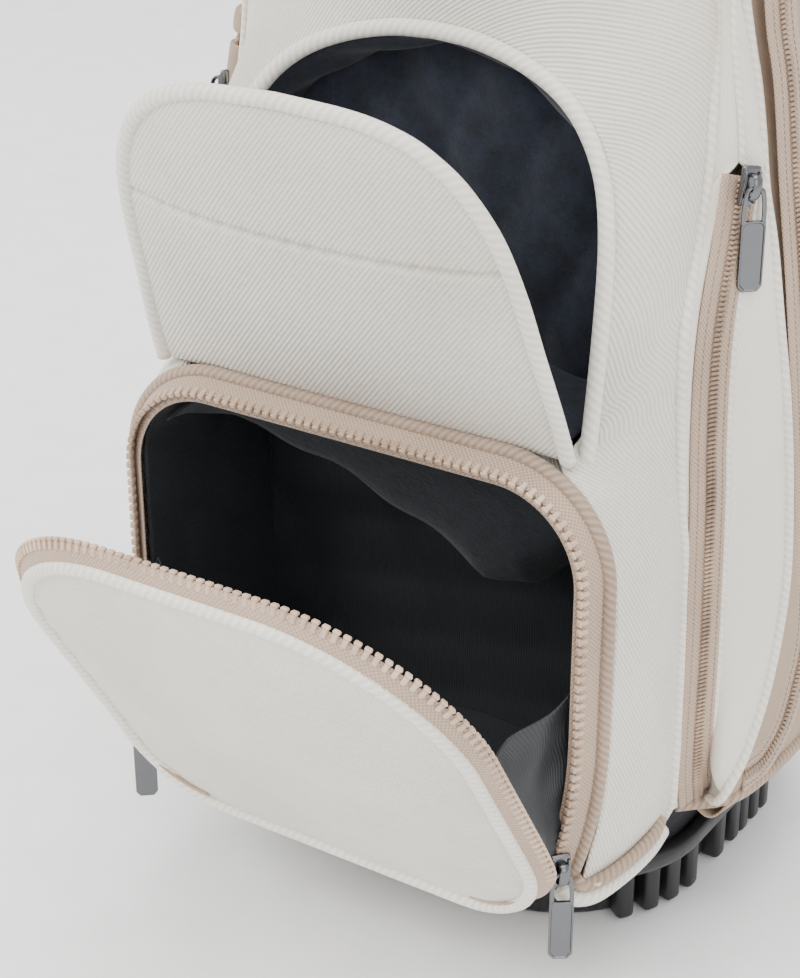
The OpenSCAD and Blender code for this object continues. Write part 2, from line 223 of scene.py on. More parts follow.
@dataclass(frozen=True)
class Pile(Finish):
    """Brushed pile such as velvet or fleece: patches lean different ways and shade unevenly."""

    patch_mm: float = 16.0
    fibre_mm: float = 1.0

    def pattern(self, net: Net) -> None:
        """Painted shade of the pile leaning different ways, as an uneven tone, and a fine fibre bump."""
        where = net.add("TexCoord").outputs["Object"]
        scale = 1 / (self.patch_mm * MM)
        # Painted shade: large noise patches lighten and darken the colour as crushed pile and soft folds would under
        # light, with the fibre noise on top.
        lean = net.add("TexNoise", {"Vector": where, "Scale": scale, "Detail": 6.0, "Roughness": 0.7})
        mixed = net.math("MULTIPLY", lean.outputs["Fac"], 0.75)
        mixed = net.math("MULTIPLY_ADD", net.noise(1 / (self.fibre_mm * MM), 2.0, where), 0.3, mixed)
        net.tone(mixed, self.low, self.high, (0.35, 0.72))
        net.bump(mixed, 1.2, 0.7)


@dataclass(frozen=True)
class Moulded(Finish):
    """Injection moulded plastic or rubber with a fine grain from the mould."""

    grain_mm: float = 0.6
    grain_depth_mm: float = 0.05

    def pattern(self, net: Net) -> None:
        """Grain bump and a faint mottled tone."""
        scuff = net.noise(30.0, 5.0)
        net.tone(scuff, self.low, self.high, (0.3, 0.7))
        net.bump(net.noise(1 / (self.grain_mm * MM), 3.0), self.grain_depth_mm, 0.6)
        net.worn(scuff, self.rough - 0.08, self.rough + 0.1)


@dataclass(frozen=True)
class Plated(Finish):
    """Cast or drawn metal with a polished skin; fine wear breaks up its reflections."""

    def pattern(self, net: Net) -> None:
        """Roughness that varies with fine wear."""
        wear = net.noise(220.0, 5.0)
        net.worn(wear, self.rough * 0.6, self.rough * 1.5)
        net.bump(wear, 0.03, 0.3)


def cream(name: str, low: str, high: str = "F0EBE0", rough: float = 0.72, **settings: float) -> Weave:
    """The shell's cream polyester, woven or cut in one of several ways."""
    return Weave(name, low, high, rough, sheen=0.12, **settings)


def crossed(name: str, low: str, high: str, rough: float, **settings: float) -> Weave:
    """A cloth whose ribs run both ways."""
    return Weave(name, low, high, rough, cross=True, **settings)


FINISHES: dict[str, Finish] = {
    "twill": cream("cream_polyester_twill", "BDB6A8", rib_mm=1.8, angle=40.0, depth_mm=0.5),
    "twill_down": cream("cream_polyester_twill_mirrored", "C3BCAE", rib_mm=1.8, angle=-32.0, depth_mm=0.5),
    "twill_fine": cream("cream_polyester_twill_upright", "D2CBBE", rib_mm=1.3, angle=8.0, depth_mm=0.1),
    # The welts are the same twill cut on the bias, so the ribs run round them.
    "welt": cream("cream_twill_welt", "CBC4B7", "F1EDE3", 0.7, rib_mm=3.4, angle=62.0, depth_mm=0.16),
    "tape": crossed(
        "tan_zip_tape_weave", "7F6A5A", "BDA48F", 0.75,
        rib_mm=1.4, angle=45.0, depth_mm=0.18, thread_mm=0.4, sheen=0.2,
    ),
    "tan_welt": Weave("tan_bias_welt", "7D6858", "B8A08B", 0.72, rib_mm=3.0, angle=60.0, sheen=0.2),
    "tan_cloth": crossed(
        "tan_plain_weave", "83705F", "B09982", 0.8,
        rib_mm=1.1, angle=45.0, depth_mm=0.08, thread_mm=0.4, sheen=0.1,
    ),
    "lining": crossed(
        "black_nylon_taffeta", "0B0C0E", "2A2D31", 0.5,
        rib_mm=1.2, angle=0.0, depth_mm=0.06, sheen=0.1,
    ),
    "mesh_band": crossed("black_ribbed_webbing", "08080A", "2C2C30", 0.65, rib_mm=1.6, angle=90.0),
    "strap_mesh": crossed("black_spacer_mesh", "0A0A0B", "303034", 0.8, rib_mm=2.4, angle=45.0, depth_mm=0.4),
    "velvet": Pile("navy_velvet_pile", "04060B", "222A3B", 0.85, sheen=0.12, patch_mm=11.0, fibre_mm=0.9),
    "fleece": Pile("black_fleece_pile", "030406", "151B26", 0.9, sheen=0.08, patch_mm=6.0, fibre_mm=1.4),
    "teeth": Moulded("acetal_zip_teeth", "A98E78", "D6BCA5", 0.38, grain_mm=0.5, grain_depth_mm=0.02, coat=0.1),
    "coil": Moulded("nylon_zip_coil", "7B6655", "BCA38D", 0.42, grain_mm=0.5, grain_depth_mm=0.02),
    "grip": Moulded("tan_moulded_tpr", "8E7866", "AC9580", 0.5),
    "base": Moulded("black_moulded_polypropylene", "0D0D0F", "1C1C1F", 0.42, grain_mm=0.8, coat=0.05),
    "collar": Moulded("black_moulded_abs", "0E0E10", "1D1D20", 0.38, grain_mm=0.5),
    "rubber": Moulded("black_rubber", "0B0B0B", "181818", 0.75),
    "gunmetal": Plated("gunmetal_plated_zinc", "3C3D40", "6C6D70", 0.22, metal=1.0),
    "rod": Plated("drawn_aluminium", "A0A0A2", "B8B8BA", 0.3, metal=1.0),
    "steel": Plated("nickel_plated_steel", "909092", "A8A8AA", 0.22, metal=1.0),
    "studio": Moulded("matt_backdrop_paint", "F4F4F4", "FAFAFA", 0.9, grain_mm=4.0, grain_depth_mm=0.0),
}


@lru_cache(maxsize=None)
def finish(key: str) -> bpy.types.Material:
    """The material of one finish, made on first use."""
    return FINISHES[key].make()


def wear(ob: Thing, key: str) -> None:
    """Give an object one finish and no other."""
    ob.data.materials.clear()
    ob.data.materials.append(finish(key))


def dress_nodes(**nodes: str) -> None:
    """Give CAD nodes that are shown as they are their finishes."""
    for node, key in nodes.items():
        wear(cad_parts[node], key)


def dress(ob: Thing, key: str, *replaces: str, body: str = "bag", slot: str = "") -> Thing:
    """Give a piece its finish and body.

    Args:
        ob: The piece.
        key: Key of its finish.
        *replaces: CAD nodes that it stands for.
        body: Body it rides on; empty for a piece between two bodies, which is then left on none.
        slot: Not used.

    Returns:
        The piece.
    """
    wear(ob, key)
    if body:
        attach(ob, body)
    if replaces:
        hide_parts(*replaces)
    LOG.info("%s: %s on %s", ob.name, key, body or "two bodies")
    return ob


# ---------------------------------------------------------------- lines


def unit(v: np.ndarray) -> np.ndarray:
    """Scale vectors to length one."""
    return v / np.maximum(np.linalg.norm(v, axis=-1, keepdims=True), 1e-9)


def steps(share: np.ndarray, count: int) -> np.ndarray:
    """Whole steps of a 0 to 1 share."""
    return np.rint(share * count).astype(int)


def length(line: Points) -> np.ndarray:
    """Running length along a line."""
    return np.concatenate([[0], np.cumsum(np.linalg.norm(np.diff(line, axis=0), axis=1))])


def along(line: Points) -> Points:
    """Unit directions along a line."""
    return unit(np.gradient(line, axis=0))


def even(line: Points, count: int) -> Points:
    """Space points evenly along a line."""
    run = length(line)
    at = np.linspace(0, run[-1], count)
    return np.stack([np.interp(at, run, line[:, i]) for i in range(line.shape[1])], 1)


def spline(points: Sequence[Sequence[float]], count: int) -> Points:
    """Catmull-Rom line, even in its parameter, so that two lines match point by point."""
    p = np.asarray(points, float)
    ring = np.vstack([2 * p[0] - p[1], p, 2 * p[-1] - p[-2]])
    at = np.linspace(0, len(p) - 1 - 1e-9, count)
    k = at.astype(int)
    u = (at - k)[:, None]
    a, b, c, d = ring[k], ring[k + 1], ring[k + 2], ring[k + 3]
    return 0.5 * (2 * b + (c - a) * u + (2 * a - 5 * b + 4 * c - d) * u**2 + (3 * b - a - 3 * c + d) * u**3)


def smooth_line(points: Sequence[Sequence[float]], count: int) -> Points:
    """Catmull-Rom line with its points evenly spaced."""
    return even(spline(points, 12 * (len(points) - 1) + 1), count)


def mirrored(points: Points, side: Side) -> Points:
    """Points or directions on the given side of the bag."""
    return np.asarray(points, float) * np.array([side.value, 1, 1])


def turn_x(points: Points, degrees: float, centre: tuple[float, float]) -> Points:
    """Turn points about an X axis through (y, z) = centre."""
    cos, sin = math.cos(math.radians(degrees)), math.sin(math.radians(degrees))
    y, z = points[:, 1] - centre[0], points[:, 2] - centre[1]
    return np.stack([points[:, 0], centre[0] + y * cos - z * sin, centre[1] + y * sin + z * cos], 1)


def arch(half: float, z0: float, z1: float, rt: float, rb: float = 0.0, power: float = 2.0) -> Points:
    """Arched outline from the bottom right over the top to the bottom left.

    Args:
        half: Half width.
        z0: Bottom.
        z1: Top.
        rt: Top corner radius.
        rb: Bottom corner radius; 0 starts at the corner itself.
        power: Roundness of the top corners, 2 is a circle.

    Returns:
        (x, z) points, finely spaced.
    """
    a = np.linspace(0, math.pi / 2, 30)
    corner = np.stack([half - rt + rt * np.cos(a) ** (2 / power), z1 - rt + rt * np.sin(a) ** (2 / power)], 1)
    low = np.array([[half, z0]])
    if rb:
        b = np.linspace(-math.pi / 2, 0, 12)
        low = np.stack([half - rb + rb * np.cos(b), z0 + rb + rb * np.sin(b)], 1)
    right = np.vstack([low, corner])
    return np.vstack([right, right[::-1] * np.array([-1, 1])])


def looped(outline: Points, count: int) -> Points:
    """Close an outline across its bottom."""
    return even(np.vstack([outline, outline[:1]]), count)


def symmetric(half: Sequence[Sequence[float]], count: int) -> Points:
    """Whole (x, z) outline from its right half, bottom right over the top to bottom left."""
    right = smooth_line(half, 120)
    return even(np.vstack([right, right[-2::-1] * np.array([-1, 1])]), count)


def half_width(outline: Points, z: np.ndarray) -> np.ndarray:
    """Half width of an arched outline at each height."""
    right = outline[: len(outline) // 2]
    order = np.argsort(right[:, 1], kind="stable")
    return np.interp(z, right[order, 1], right[order, 0])


def outward(outline: Points) -> Points:
    """Outward normals of an outline that runs from the bottom right over the top."""
    step = np.gradient(outline, axis=0)
    return unit(np.stack([step[:, 1], -step[:, 0]], 1))


def in_plane(outline: Points, y: float) -> Points:
    """(x, z) outline at a depth y."""
    return np.stack([outline[:, 0], np.full(len(outline), float(y)), outline[:, 1]], 1)


def on_slope(outline: Points, proud: float) -> Points:
    """(x, z) outline laid on the leaning front of the upper column."""
    x, v = outline[:, 0], outline[:, 1]
    y = -131 + v * math.sin(LEAN) - proud * math.cos(LEAN)
    return np.stack([x, y, 258 + v * math.cos(LEAN) + proud * math.sin(LEAN)], 1)


def flap_pose(x: np.ndarray, y: np.ndarray, z: np.ndarray) -> Points:
    """Flap position, measured from its hinge, to its resting place."""
    flat = np.stack([x, y + FLAP_HINGE[0], z + FLAP_HINGE[1]], 1)
    return turn_x(flat, FLAP_OPEN, FLAP_HINGE)


def mouth(half: float, low: float, count: int = 230) -> Points:
    """The cooler's mouth at a half width, drawn in towards its bottom corners."""
    out = even(arch(half, low, half + 137, half - 71), count)
    out[:, 0] -= np.sign(out[:, 0]) * 12.0 * np.clip((140 - out[:, 1]) / 72, 0, 1.1) ** 2
    return out


def splayed(outline: Points, aside: float, ahead: float) -> Points:
    """Directions that lean outwards from an outline and forwards."""
    out = outward(outline) * aside
    return unit(np.stack([out[:, 0], np.full(len(out), -ahead), out[:, 1]], 1))


def round_profile(radius: float, sides: int = 12, squash: float = 1.0) -> Points:
    """Closed circle or ellipse profile."""
    a = np.linspace(0, 2 * math.pi, sides + 1)
    return np.stack([radius * np.cos(a), radius * squash * np.sin(a)], 1)


def flat_profile(width: float, thick: float = TAPE_THICK) -> Points:
    """Closed flat strip profile with rounded edges."""
    w, h = width / 2, thick / 2
    top = [(x, h) for x in np.linspace(w - h, -w + h, 7)]
    bottom = [(x, -h) for x in np.linspace(-w + h, w - h, 7)]
    return np.array([*top, (-w, 0), *bottom, (w, 0), top[0]])


# ---------------------------------------------------------------- shapes


def deselect() -> None:
    """Leave edit mode and deselect everything."""
    if bpy.context.mode != "OBJECT":
        bpy.ops.object.mode_set(mode="OBJECT")
    bpy.ops.object.select_all(action="DESELECT")


def pick(*obs: Thing) -> None:
    """Select these objects only and make the first one active."""
    deselect()
    for ob in obs:
        ob.select_set(True)
    bpy.context.view_layer.objects.active = obs[0]


def heal(ob: Thing, outwards: bool) -> None:
    """Merge doubles and, on a closed shape, turn its faces outwards."""
    pick(ob)
    bpy.ops.object.mode_set(mode="EDIT")
    bpy.ops.mesh.select_all(action="SELECT")
    bpy.ops.mesh.remove_doubles(threshold=0.00002)
    if outwards:
        bpy.ops.mesh.normals_make_consistent(inside=False)
    bpy.ops.object.mode_set(mode="OBJECT")
    bpy.ops.object.shade_smooth()


def vertices(data: bpy.types.Mesh) -> Points:
    """Vertex positions of a mesh, in metres."""
    co = np.empty(len(data.vertices) * 3)
    data.vertices.foreach_get("co", co)
    return co.reshape(-1, 3)


def patch(name: str, cells: tuple[int, int], rule: Rule, flip: bool = False, closed: bool = False) -> Thing:
    """A grid whose points are moved by a rule.

    Args:
        name: Object name.
        cells: Number of cells along s and along t.
        rule: Takes s and t from 0 to 1, gives points and UV.
        flip: Turn the faces over.
        closed: The points wrap into a closed shape.

    Returns:
        The object, with UV in metres.
    """
    deselect()
    bpy.ops.mesh.primitive_grid_add(x_subdivisions=cells[0], y_subdivisions=cells[1], size=1)
    ob = bpy.context.object
    ob.name = ob.data.name = name
    data = ob.data
    co = vertices(data)
    points, uv = rule(co[:, 0] + 0.5, co[:, 1] + 0.5)
    data.vertices.foreach_set("co", (np.asarray(points, float) * MM).ravel())
    index = np.empty(len(data.loops), int)
    data.loops.foreach_get("vertex_index", index)
    layer = data.uv_layers.active or data.uv_layers.new(name="UVMap")
    layer.data.foreach_set("uv", (np.asarray(uv, float) * MM)[index].ravel())
    data.update()
    if flip:
        data.flip_normals()
    heal(ob, closed)
    return ob


def wall(ob: Thing, thick: float = CLOTH, offset: float = -1.0) -> Thing:
    """Give an open skin a thickness with an applied Solidify."""
    pick(ob)
    made = ob.modifiers.new("cloth", "SOLIDIFY")
    made.thickness, made.offset = thick * MM, offset
    bpy.ops.object.modifier_apply(modifier="cloth")
    return ob


def sweep(name: str, path: Points, up: Points | Triple, profile: Points, closed: bool = False) -> Thing:
    """Carry a closed profile along a path; open ends are drawn in to a point.

    Args:
        name: Object name.
        path: Points of the path.
        up: One direction or one per point, across the path.
        profile: Closed loop of (side, up) offsets, first point repeated at the end.
        closed: The path is a loop.

    Returns:
        The swept object.
    """
    up = np.broadcast_to(np.asarray(up, float), path.shape)
    scale = np.ones(len(path))
    if not closed:
        path, up = (np.vstack([v[:1], v, v[-1:]]) for v in (path, up))
        scale = np.concatenate([[0.001], scale, [0.001]])
    step = np.gradient(path, axis=0)
    if closed:
        step[0] = step[-1] = path[1] - path[-2]
    else:
        step[0], step[-1] = step[1], step[-2]
    ahead = unit(step)
    top = unit(up - ahead * np.sum(up * ahead, axis=1, keepdims=True))
    side = np.cross(ahead, top)
    run, girth = length(path), length(profile)
    nu, nv = len(profile) - 1, len(path) - 1

    def rule(s: np.ndarray, t: np.ndarray) -> tuple[np.ndarray, np.ndarray]:
        i, j = steps(s, nu), steps(t, nv)
        off = profile[i] * scale[j][:, None]
        return path[j] + side[j] * off[:, :1] + top[j] * off[:, 1:], np.stack([girth[i], run[j]], 1)

    return patch(name, (nu, nv), rule, closed=True)


def span(
    name: str, one: Points, two: Points, across: int, bulge: Callable | None = None, flip: bool = False
) -> Thing:
    """A skin between two matched lines, pushed outwards by a bulge.

    Args:
        name: Object name.
        one: First edge.
        two: Second edge, as many points.
        across: Cells across.
        bulge: Takes s and t, gives how far the skin stands out; none is flat.
        flip: Turn the faces over.

    Returns:
        The skin.
    """
    rows = len(one) - 1
    middle = (one + two) / 2
    run = length(middle)
    gap = np.linalg.norm(two - one, axis=1)
    out = unit(np.cross(unit(two - one + 1e-6), along(middle)))
    # Outwards is away from the upright axis of the tube.
    away = (middle - np.array([0, 18, 0])) * np.array([1, 1, 0])
    out *= np.sign(np.sum(out * away, axis=1))[:, None]

    def rule(s: np.ndarray, t: np.ndarray) -> tuple[np.ndarray, np.ndarray]:
        j = steps(t, rows)
        p = one[j] * (1 - s)[:, None] + two[j] * s[:, None]
        if bulge:
            p = p + out[j] * bulge(s, t)[:, None]
        return p, np.stack([s * gap[j], run[j]], 1)

    return patch(name, (across, rows), rule, flip=flip)


def pillow(
    name: str, outline: Points, cells: tuple[int, int], front: Callable, back: Callable, place: Callable
) -> Thing:
    """A crowned closed pad inside an arched outline.

    Args:
        name: Object name.
        outline: Arched outline, (x, z).
        cells: Cells across one face and up.
        front: Depth of the front face from u (-1 to 1) and height.
        back: Depth of the back face.
        place: Puts x, depth and z in the bag's frame.

    Returns:
        The pad.
    """
    z0, z1 = outline[:, 1].min(), outline[:, 1].max()

    def rule(s: np.ndarray, t: np.ndarray) -> tuple[np.ndarray, np.ndarray]:
        fore = s <= 0.5
        u = np.where(fore, 4 * s - 1, 3 - 4 * s)
        v = 0.35 * t + 0.65 * (0.5 - 0.5 * np.cos(math.pi * t))
        z = z0 + (z1 - z0) * v
        x = u * half_width(outline, z)
        edge = np.clip(1 - np.abs(u) ** 7, 0, 1) ** 0.5 * np.clip(1 - np.abs(2 * v - 1) ** 9, 0, 1) ** 0.5
        depth = np.where(fore, front(u, z), -back(u, z)) * edge
        return place(x, depth, z), np.stack([x, z], 1)

    return patch(name, (cells[0] * 2, cells[1]), rule, closed=True)


def flat_face(depth: float) -> Callable:
    """A face of a pad with the same depth everywhere."""
    return lambda u, z: depth + 0 * z


def block(size: Triple, bevel: float, centre: Triple = (0, 0, 0), segments: int = 1) -> Thing:
    """A bevelled cube, as the start of small parts.

    Args:
        size: Along X, Y and Z.
        bevel: Edge radius.
        centre: Its centre.
        segments: Bevel segments.

    Returns:
        The object.
    """
    deselect()
    bpy.ops.mesh.primitive_cube_add(size=1)
    ob = bpy.context.object
    for v in ob.data.vertices:
        v.co = Vector([v.co[i] * size[i] * MM + centre[i] * MM for i in range(3)])
    bpy.ops.object.mode_set(mode="EDIT")
    bpy.ops.mesh.select_all(action="SELECT")
    bpy.ops.mesh.bevel(offset=bevel * MM, segments=segments, affect="EDGES")
    bpy.ops.object.mode_set(mode="OBJECT")
    return ob


def join(name: str, parts: list[Thing]) -> Thing:
    """Join parts into one piece."""
    pick(*parts)
    bpy.ops.object.join()
    ob = bpy.context.object
    ob.name = ob.data.name = name
    return ob


def shade(ob: Thing, angle: float = 35.0) -> Thing:
    """Smooth faces up to an angle."""
    pick(ob)
    bpy.ops.object.shade_smooth_by_angle(angle=math.radians(angle))
    return ob


def copies(name: str, small: Thing, frames: list[np.ndarray]) -> Thing:
    """Copy one small shape along a line into a mesh of its own.

    Args:
        name: Name of the joined piece.
        small: The shape to copy, at the origin. It is removed.
        frames: 4x4 placements.

    Returns:
        The joined piece.
    """
    co = vertices(small.data)
    faces = [tuple(f.vertices) for f in small.data.polygons]
    points, sets = [], []
    for k, m in enumerate(frames):
        points.append(co @ m[:3, :3].T + m[:3, 3] * MM)
        sets.extend(tuple(v + k * len(co) for v in f) for f in faces)
    mesh = bpy.data.meshes.new(name)
    mesh.from_pydata(np.vstack(points).tolist(), [], sets)
    mesh.update()
    ob = bpy.data.objects.new(name, mesh)
    bpy.context.collection.objects.link(ob)
    bpy.data.objects.remove(small)
    return ob


def ladder(path: Points, up: Points | Triple, pitch: float, start: float = 0.0) -> list[np.ndarray]:
    """Placements at a pitch along a path: X along it, Z up, Y across."""
    run = length(path)
    at = np.arange(start, run[-1], pitch)

    def read(values: Points, where: np.ndarray) -> Points:
        return np.stack([np.interp(where, run, values[:, i]) for i in range(3)], 1)

    x = unit(read(path, np.minimum(at + 1, run[-1])) - read(path, np.maximum(at - 1, 0)))
    ups = read(np.broadcast_to(np.asarray(up, float), path.shape), at)
    z = unit(ups - x * np.sum(ups * x, axis=1, keepdims=True))
    out = np.tile(np.eye(4), (len(at), 1, 1))
    out[:, :3] = np.stack([x, np.cross(z, x), z, read(path, at)], 2)
    return list(out)


def tooth() -> Thing:
    """One moulded zip tooth: a stem on the tape and a wider head."""
    stem = block((2.1, 3.6, 2.3), 0.35, (0, -0.6, 0))
    head = block((3.0, 1.5, 2.5), 0.45, (0, 1.7, 0))
    return join("tooth", [stem, head])


def stitches(
    name: str,
    path: Points,
    up: Points,
    pitch: float = 3.0,
    long: float = 2.1,
    thick: float = 0.55,
    body: str = "bag",
) -> None:
    """A row of tan sewing stitches lying on cloth."""
    small = block((long, thick, thick * 0.8), thick * 0.3)
    dress(copies(name, small, ladder(path, up, pitch)), "tan_cloth", body=body)


def coil_chain(name: str, path: Points, up: Points | Triple) -> None:
    """Two rows of nylon coil teeth side by side on a zip tape."""
    side = np.cross(along(path), unit(np.asarray(up, float)))
    rows = []
    for k, off in enumerate((-1.25, 1.25)):
        rows += ladder(path + side * off, up, COIL_PITCH, 1.0 * k)
    dress(copies(name, block((1.25, 2.7, 1.7), 0.42, (0, 0, 0.5)), rows), "coil")


# ---------------------------------------------------------------- outlines of the sewn shell

# Half of the arched opening, on the slope, and half of the flap from its hinge.
ARCH = [
    (99.5, -6), (98.8, 11), (95.8, 46), (91.8, 78), (85.5, 101),
    (75, 118.5), (61, 131), (42, 140), (20, 145.5), (0, 147),
]
FLAP = [
    (101, -3), (99, 21), (95.5, 50), (92.5, 76), (87, 100),
    (77, 119), (66, 130), (54, 137), (34, 142), (0, 144),
]
# The seams of the right side, bottom to top: column to pod, pod to rear panel, and the two zips.
COLUMN_SEAM = [
    (114, -76, 62), (119, -80, 74), (120, -81, 88), (120, -81, 113), (120, -82, 154), (120, -84, 195),
    (120, -90, 222), (120, -95, 259), (120, -97, 290), (117, -87, 312), (113, -74, 330), (112, -67, 353),
    (109, -60, 376), (106, -53, 396), (103, -48, 422), (101, -45, 457),
]
POD_SEAM = [
    (126.5, -58, 67), (133, -62, 70), (138, -63, 79), (141, -53, 94), (143, -40, 124), (144, -33, 168),
    (143, -36, 214), (141, -41, 254), (136, -43, 290), (131.5, -45, 322), (127, -47, 346), (122.5, -44.5, 368),
    (118, -42, 386), (115, -43, 400), (111.5, -46, 425), (109, -48, 460),
]
FRONT_ZIP = [
    (121.5, -60, 67), (123.5, -67, 84), (125, -71, 108), (125.4, -72, 141), (125.6, -74, 181), (125.4, -76, 220),
    (125, -78, 246), (124.6, -78.5, 278), (124, -75, 302), (123, -66, 329), (121.5, -58, 352),
]
REAR_ZIP = [
    (138, -51, 79), (140, -36, 80), (141.5, -21, 91), (142.4, -13, 110), (142.8, -8, 130), (143, -10, 157),
    (142.8, -17, 200), (142, -24, 240), (140.5, -29, 271), (136.5, -31, 308), (131, -32, 347), (125, -30, 383),
    (119.8, -29, 405), (118, -32, 430), (117.6, -38, 470), (117.4, -40, 540), (117.2, -40, 598),
]
# The tan panel behind the pod: its middle and its edge beside the back pad.
REAR_MIDDLE = [
    (137, -57, 66), (140, -40, 66), (141, -14, 67), (141.5, 8, 72), (143, 20, 110), (143.5, 30, 160),
    (143, 34, 210), (141.5, 34, 250), (138, 34, 285), (134, 34, 320), (130, 34, 345), (126, 34, 368),
    (121.5, 34, 390), (118.5, 34, 405), (117, 34, 425), (116.5, 34, 460),
]
REAR_EDGE = [
    (118, -60, 64), (122, -20, 64), (124, 20, 65), (120, 70, 66), (112, 92, 70), (108, 100, 100),
    (106, 103, 140), (105, 103, 200), (105, 103, 260), (104, 103, 300), (103, 103, 330), (102, 103, 350),
    (101, 102, 370), (100, 102, 390), (99, 101, 410), (98, 100, 440),
]
POD_BOTTOM = [
    (115, -66, 62), (123, -60, 63), (132, -57, 66), (139, -48, 68), (142, -20, 68), (140.5, 15, 66), (134, 50, 66),
    (122, 78, 67), (108, 92, 70),
]
# The column's cloth runs from its rim, round the cooler and the arch, to its edge at the side seam.
COLUMN_RIM = [
    (111, -144, 64), (114.5, -144, 82), (118, -143.8, 100), (120.5, -143.6, 130), (121, -143.5, 165),
    (121, -143.5, 192), (119.6, -144, 213), (114.3, -144.5, 230), (106, -144.5, 243), (96, -143.5, 250.5),
    (91.5, -137, 254), (94.5, -129.5, 261), (98, -126, 271), (97, -117, 303), (93, -107.5, 333),
    (86.5, -101, 355.5), (75.5, -96, 372.5), (42.5, -89.5, 393.5), (0, -87.5, 400.5),
]
COLUMN_EDGE = [
    (114, -76, 60), (119, -80, 74), (120, -81, 92), (120, -81, 124), (120, -82, 160), (120, -83, 188),
    (120, -87, 208), (120, -89, 222), (120, -92, 240), (120, -94.5, 256), (120, -96, 272), (120, -97, 288),
    (117, -87, 312), (113, -74, 330), (111, -66, 358), (108, -58, 382), (102, -47, 429), (71, -53, 472),
    (0, -72, 476),
]
UNDER_WELT = [
    (109.5, -147.5, 70), (112.5, -145, 65.5), (117, -135, 65.5),
    (120.5, -118, 66.5), (121.5, -100, 68), (119.5, -90, 70),
]
UNDER_BINDING = [
    (104, -150, 64), (108, -148.5, 60.5), (114, -139, 58.5),
    (117.5, -120, 58.5), (118.5, -100, 59), (117, -84, 60),
]


@dataclass
class Base:
    """The moulded base with its bead, fluted wall, ribs and the binding above it."""

    # Half width, half depth and corner radius of the wall and of the rim.
    foot: Triple = (107.0, 104.0, 70.0)
    rim: Triple = (122.0, 114.0, 60.0)
    flutes: int = 60
    rib_angles: tuple[float, ...] = (-38.4, -32.3, -26.5, -20.3, -5.8, 2.5, 8.1, 14.3, 19.8)

    @staticmethod
    def ring(w: float, d: float, r: float, count: int) -> Points:
        """Rounded rectangle, evenly spaced, starting at the middle of the right side."""
        out = []
        for cx, cy, a0 in ((w - r, d - r, 0), (r - w, d - r, 90), (r - w, r - d, 180), (w - r, r - d, 270)):
            for a in np.radians(np.linspace(a0, a0 + 90, 16)):
                out.append((cx + r * math.cos(a), cy + r * math.sin(a)))
        return even(np.array([(w, 0.0), *out, (w, 0.0)]), count)

    def pan(self) -> Thing:
        """Wall with shallow flutes, bead, inner wall and floor as one closed shape."""
        count = 481
        foot, rim = self.ring(*self.foot, count), self.ring(*self.rim, count)
        # Each row: share of the rim's outline, scale, height.
        floor_rows = [(0, 0.02, 1.5), (0, 0.5, 1.5), (0, 0.955, 1.5), (0, 0.985, 2.2)]
        wall_rows = [(0, 1, 4.5), (0, 1, 14), (0, 1, 24)]
        bead_rows = [(0.12, 1, 30), (0.35, 1, 33.2), (0.8, 1, 34.4), (0.97, 1, 36), (1, 1.006, 39)]
        lip_rows = [(1, 1.004, 42.2), (0.99, 0.992, 43.8), (0.98, 0.965, 43.9), (0.97, 0.948, 42.6), (0.96, 0.94, 40)]
        inner_rows = [(0.9, 0.93, 34), (0.2, 0.93, 30), (0, 0.955, 24), (0, 0.95, 8), (0, 0.5, 6), (0, 0.02, 6)]
        share, scale, height = np.array(floor_rows + wall_rows + bead_rows + lip_rows + inner_rows).T

        def rule(s: np.ndarray, t: np.ndarray) -> tuple[np.ndarray, np.ndarray]:
            i, j = steps(s, count - 1), steps(t, len(height) - 1)
            flute = 1.6 * np.clip(np.cos(s * 2 * math.pi * self.flutes) * 3 + 1.4, -1, 0)
            mark = np.where((j >= 4) & (j <= 7), flute, 0)
            p = (foot[i] * (1 - share[j])[:, None] + rim[i] * share[j][:, None]) * scale[j][:, None]
            p = p + unit(p) * mark[:, None]
            return np.column_stack([p, height[j]]), np.stack([s * 720, height[j]], 1)

        return patch("base_shell", (count - 1, len(height) - 1), rule, closed=True)

    def ribs(self) -> Thing:
        """Thick round-cornered ribs round the wall, modelled once and copied."""
        near = {round(a + q, 1) for a in self.rib_angles for q in (0, 180)}
        angles = sorted(near | {round(180 - a, 1) for a in self.rib_angles})
        foot = self.ring(*self.foot, 721)
        at = np.degrees(np.arctan2(foot[:, 1], foot[:, 0]))
        frames = []
        for a in angles:
            k = int(np.argmin(np.abs(at - ((a + 180) % 360 - 180))))
            step = foot[(k + 2) % 720] - foot[(k - 2) % 720]
            out = unit(np.array([step[1], -step[0]]))
            m = np.eye(4)
            m[:2, 0], m[:2, 1], m[:2, 3] = out, (-out[1], out[0]), foot[k]
            frames.append(m)
        return shade(copies("base_ribs", block((11, 8.6, 31), 2.6, (2.6, 0, 17.2), 3), frames))

    def binding(self) -> Thing:
        """The black ribbed band between the base and the cloth."""
        band = self.ring(113.5, 105, 53, 241)
        # Each row: scale, height.
        rows = np.array([(1.0, 38), (1.0, 50), (0.995, 58), (0.985, 63.4), (0.96, 63.8), (0.95, 58), (0.955, 38)])

        def rule(s: np.ndarray, t: np.ndarray) -> tuple[np.ndarray, np.ndarray]:
            i, j = steps(s, 240), steps(t, 6)
            scale, z = rows[j].T
            return np.column_stack([band[i] * scale[:, None], z]), np.stack([s * 690, z], 1)

        return patch("base_binding", (240, 6), rule)

    def build(self) -> None:
        """Build and dress the base."""
        dress(self.pan(), "base", "base_pan")
        dress(self.ribs(), "base")
        dress(self.binding(), "mesh_band", "bottom_band")


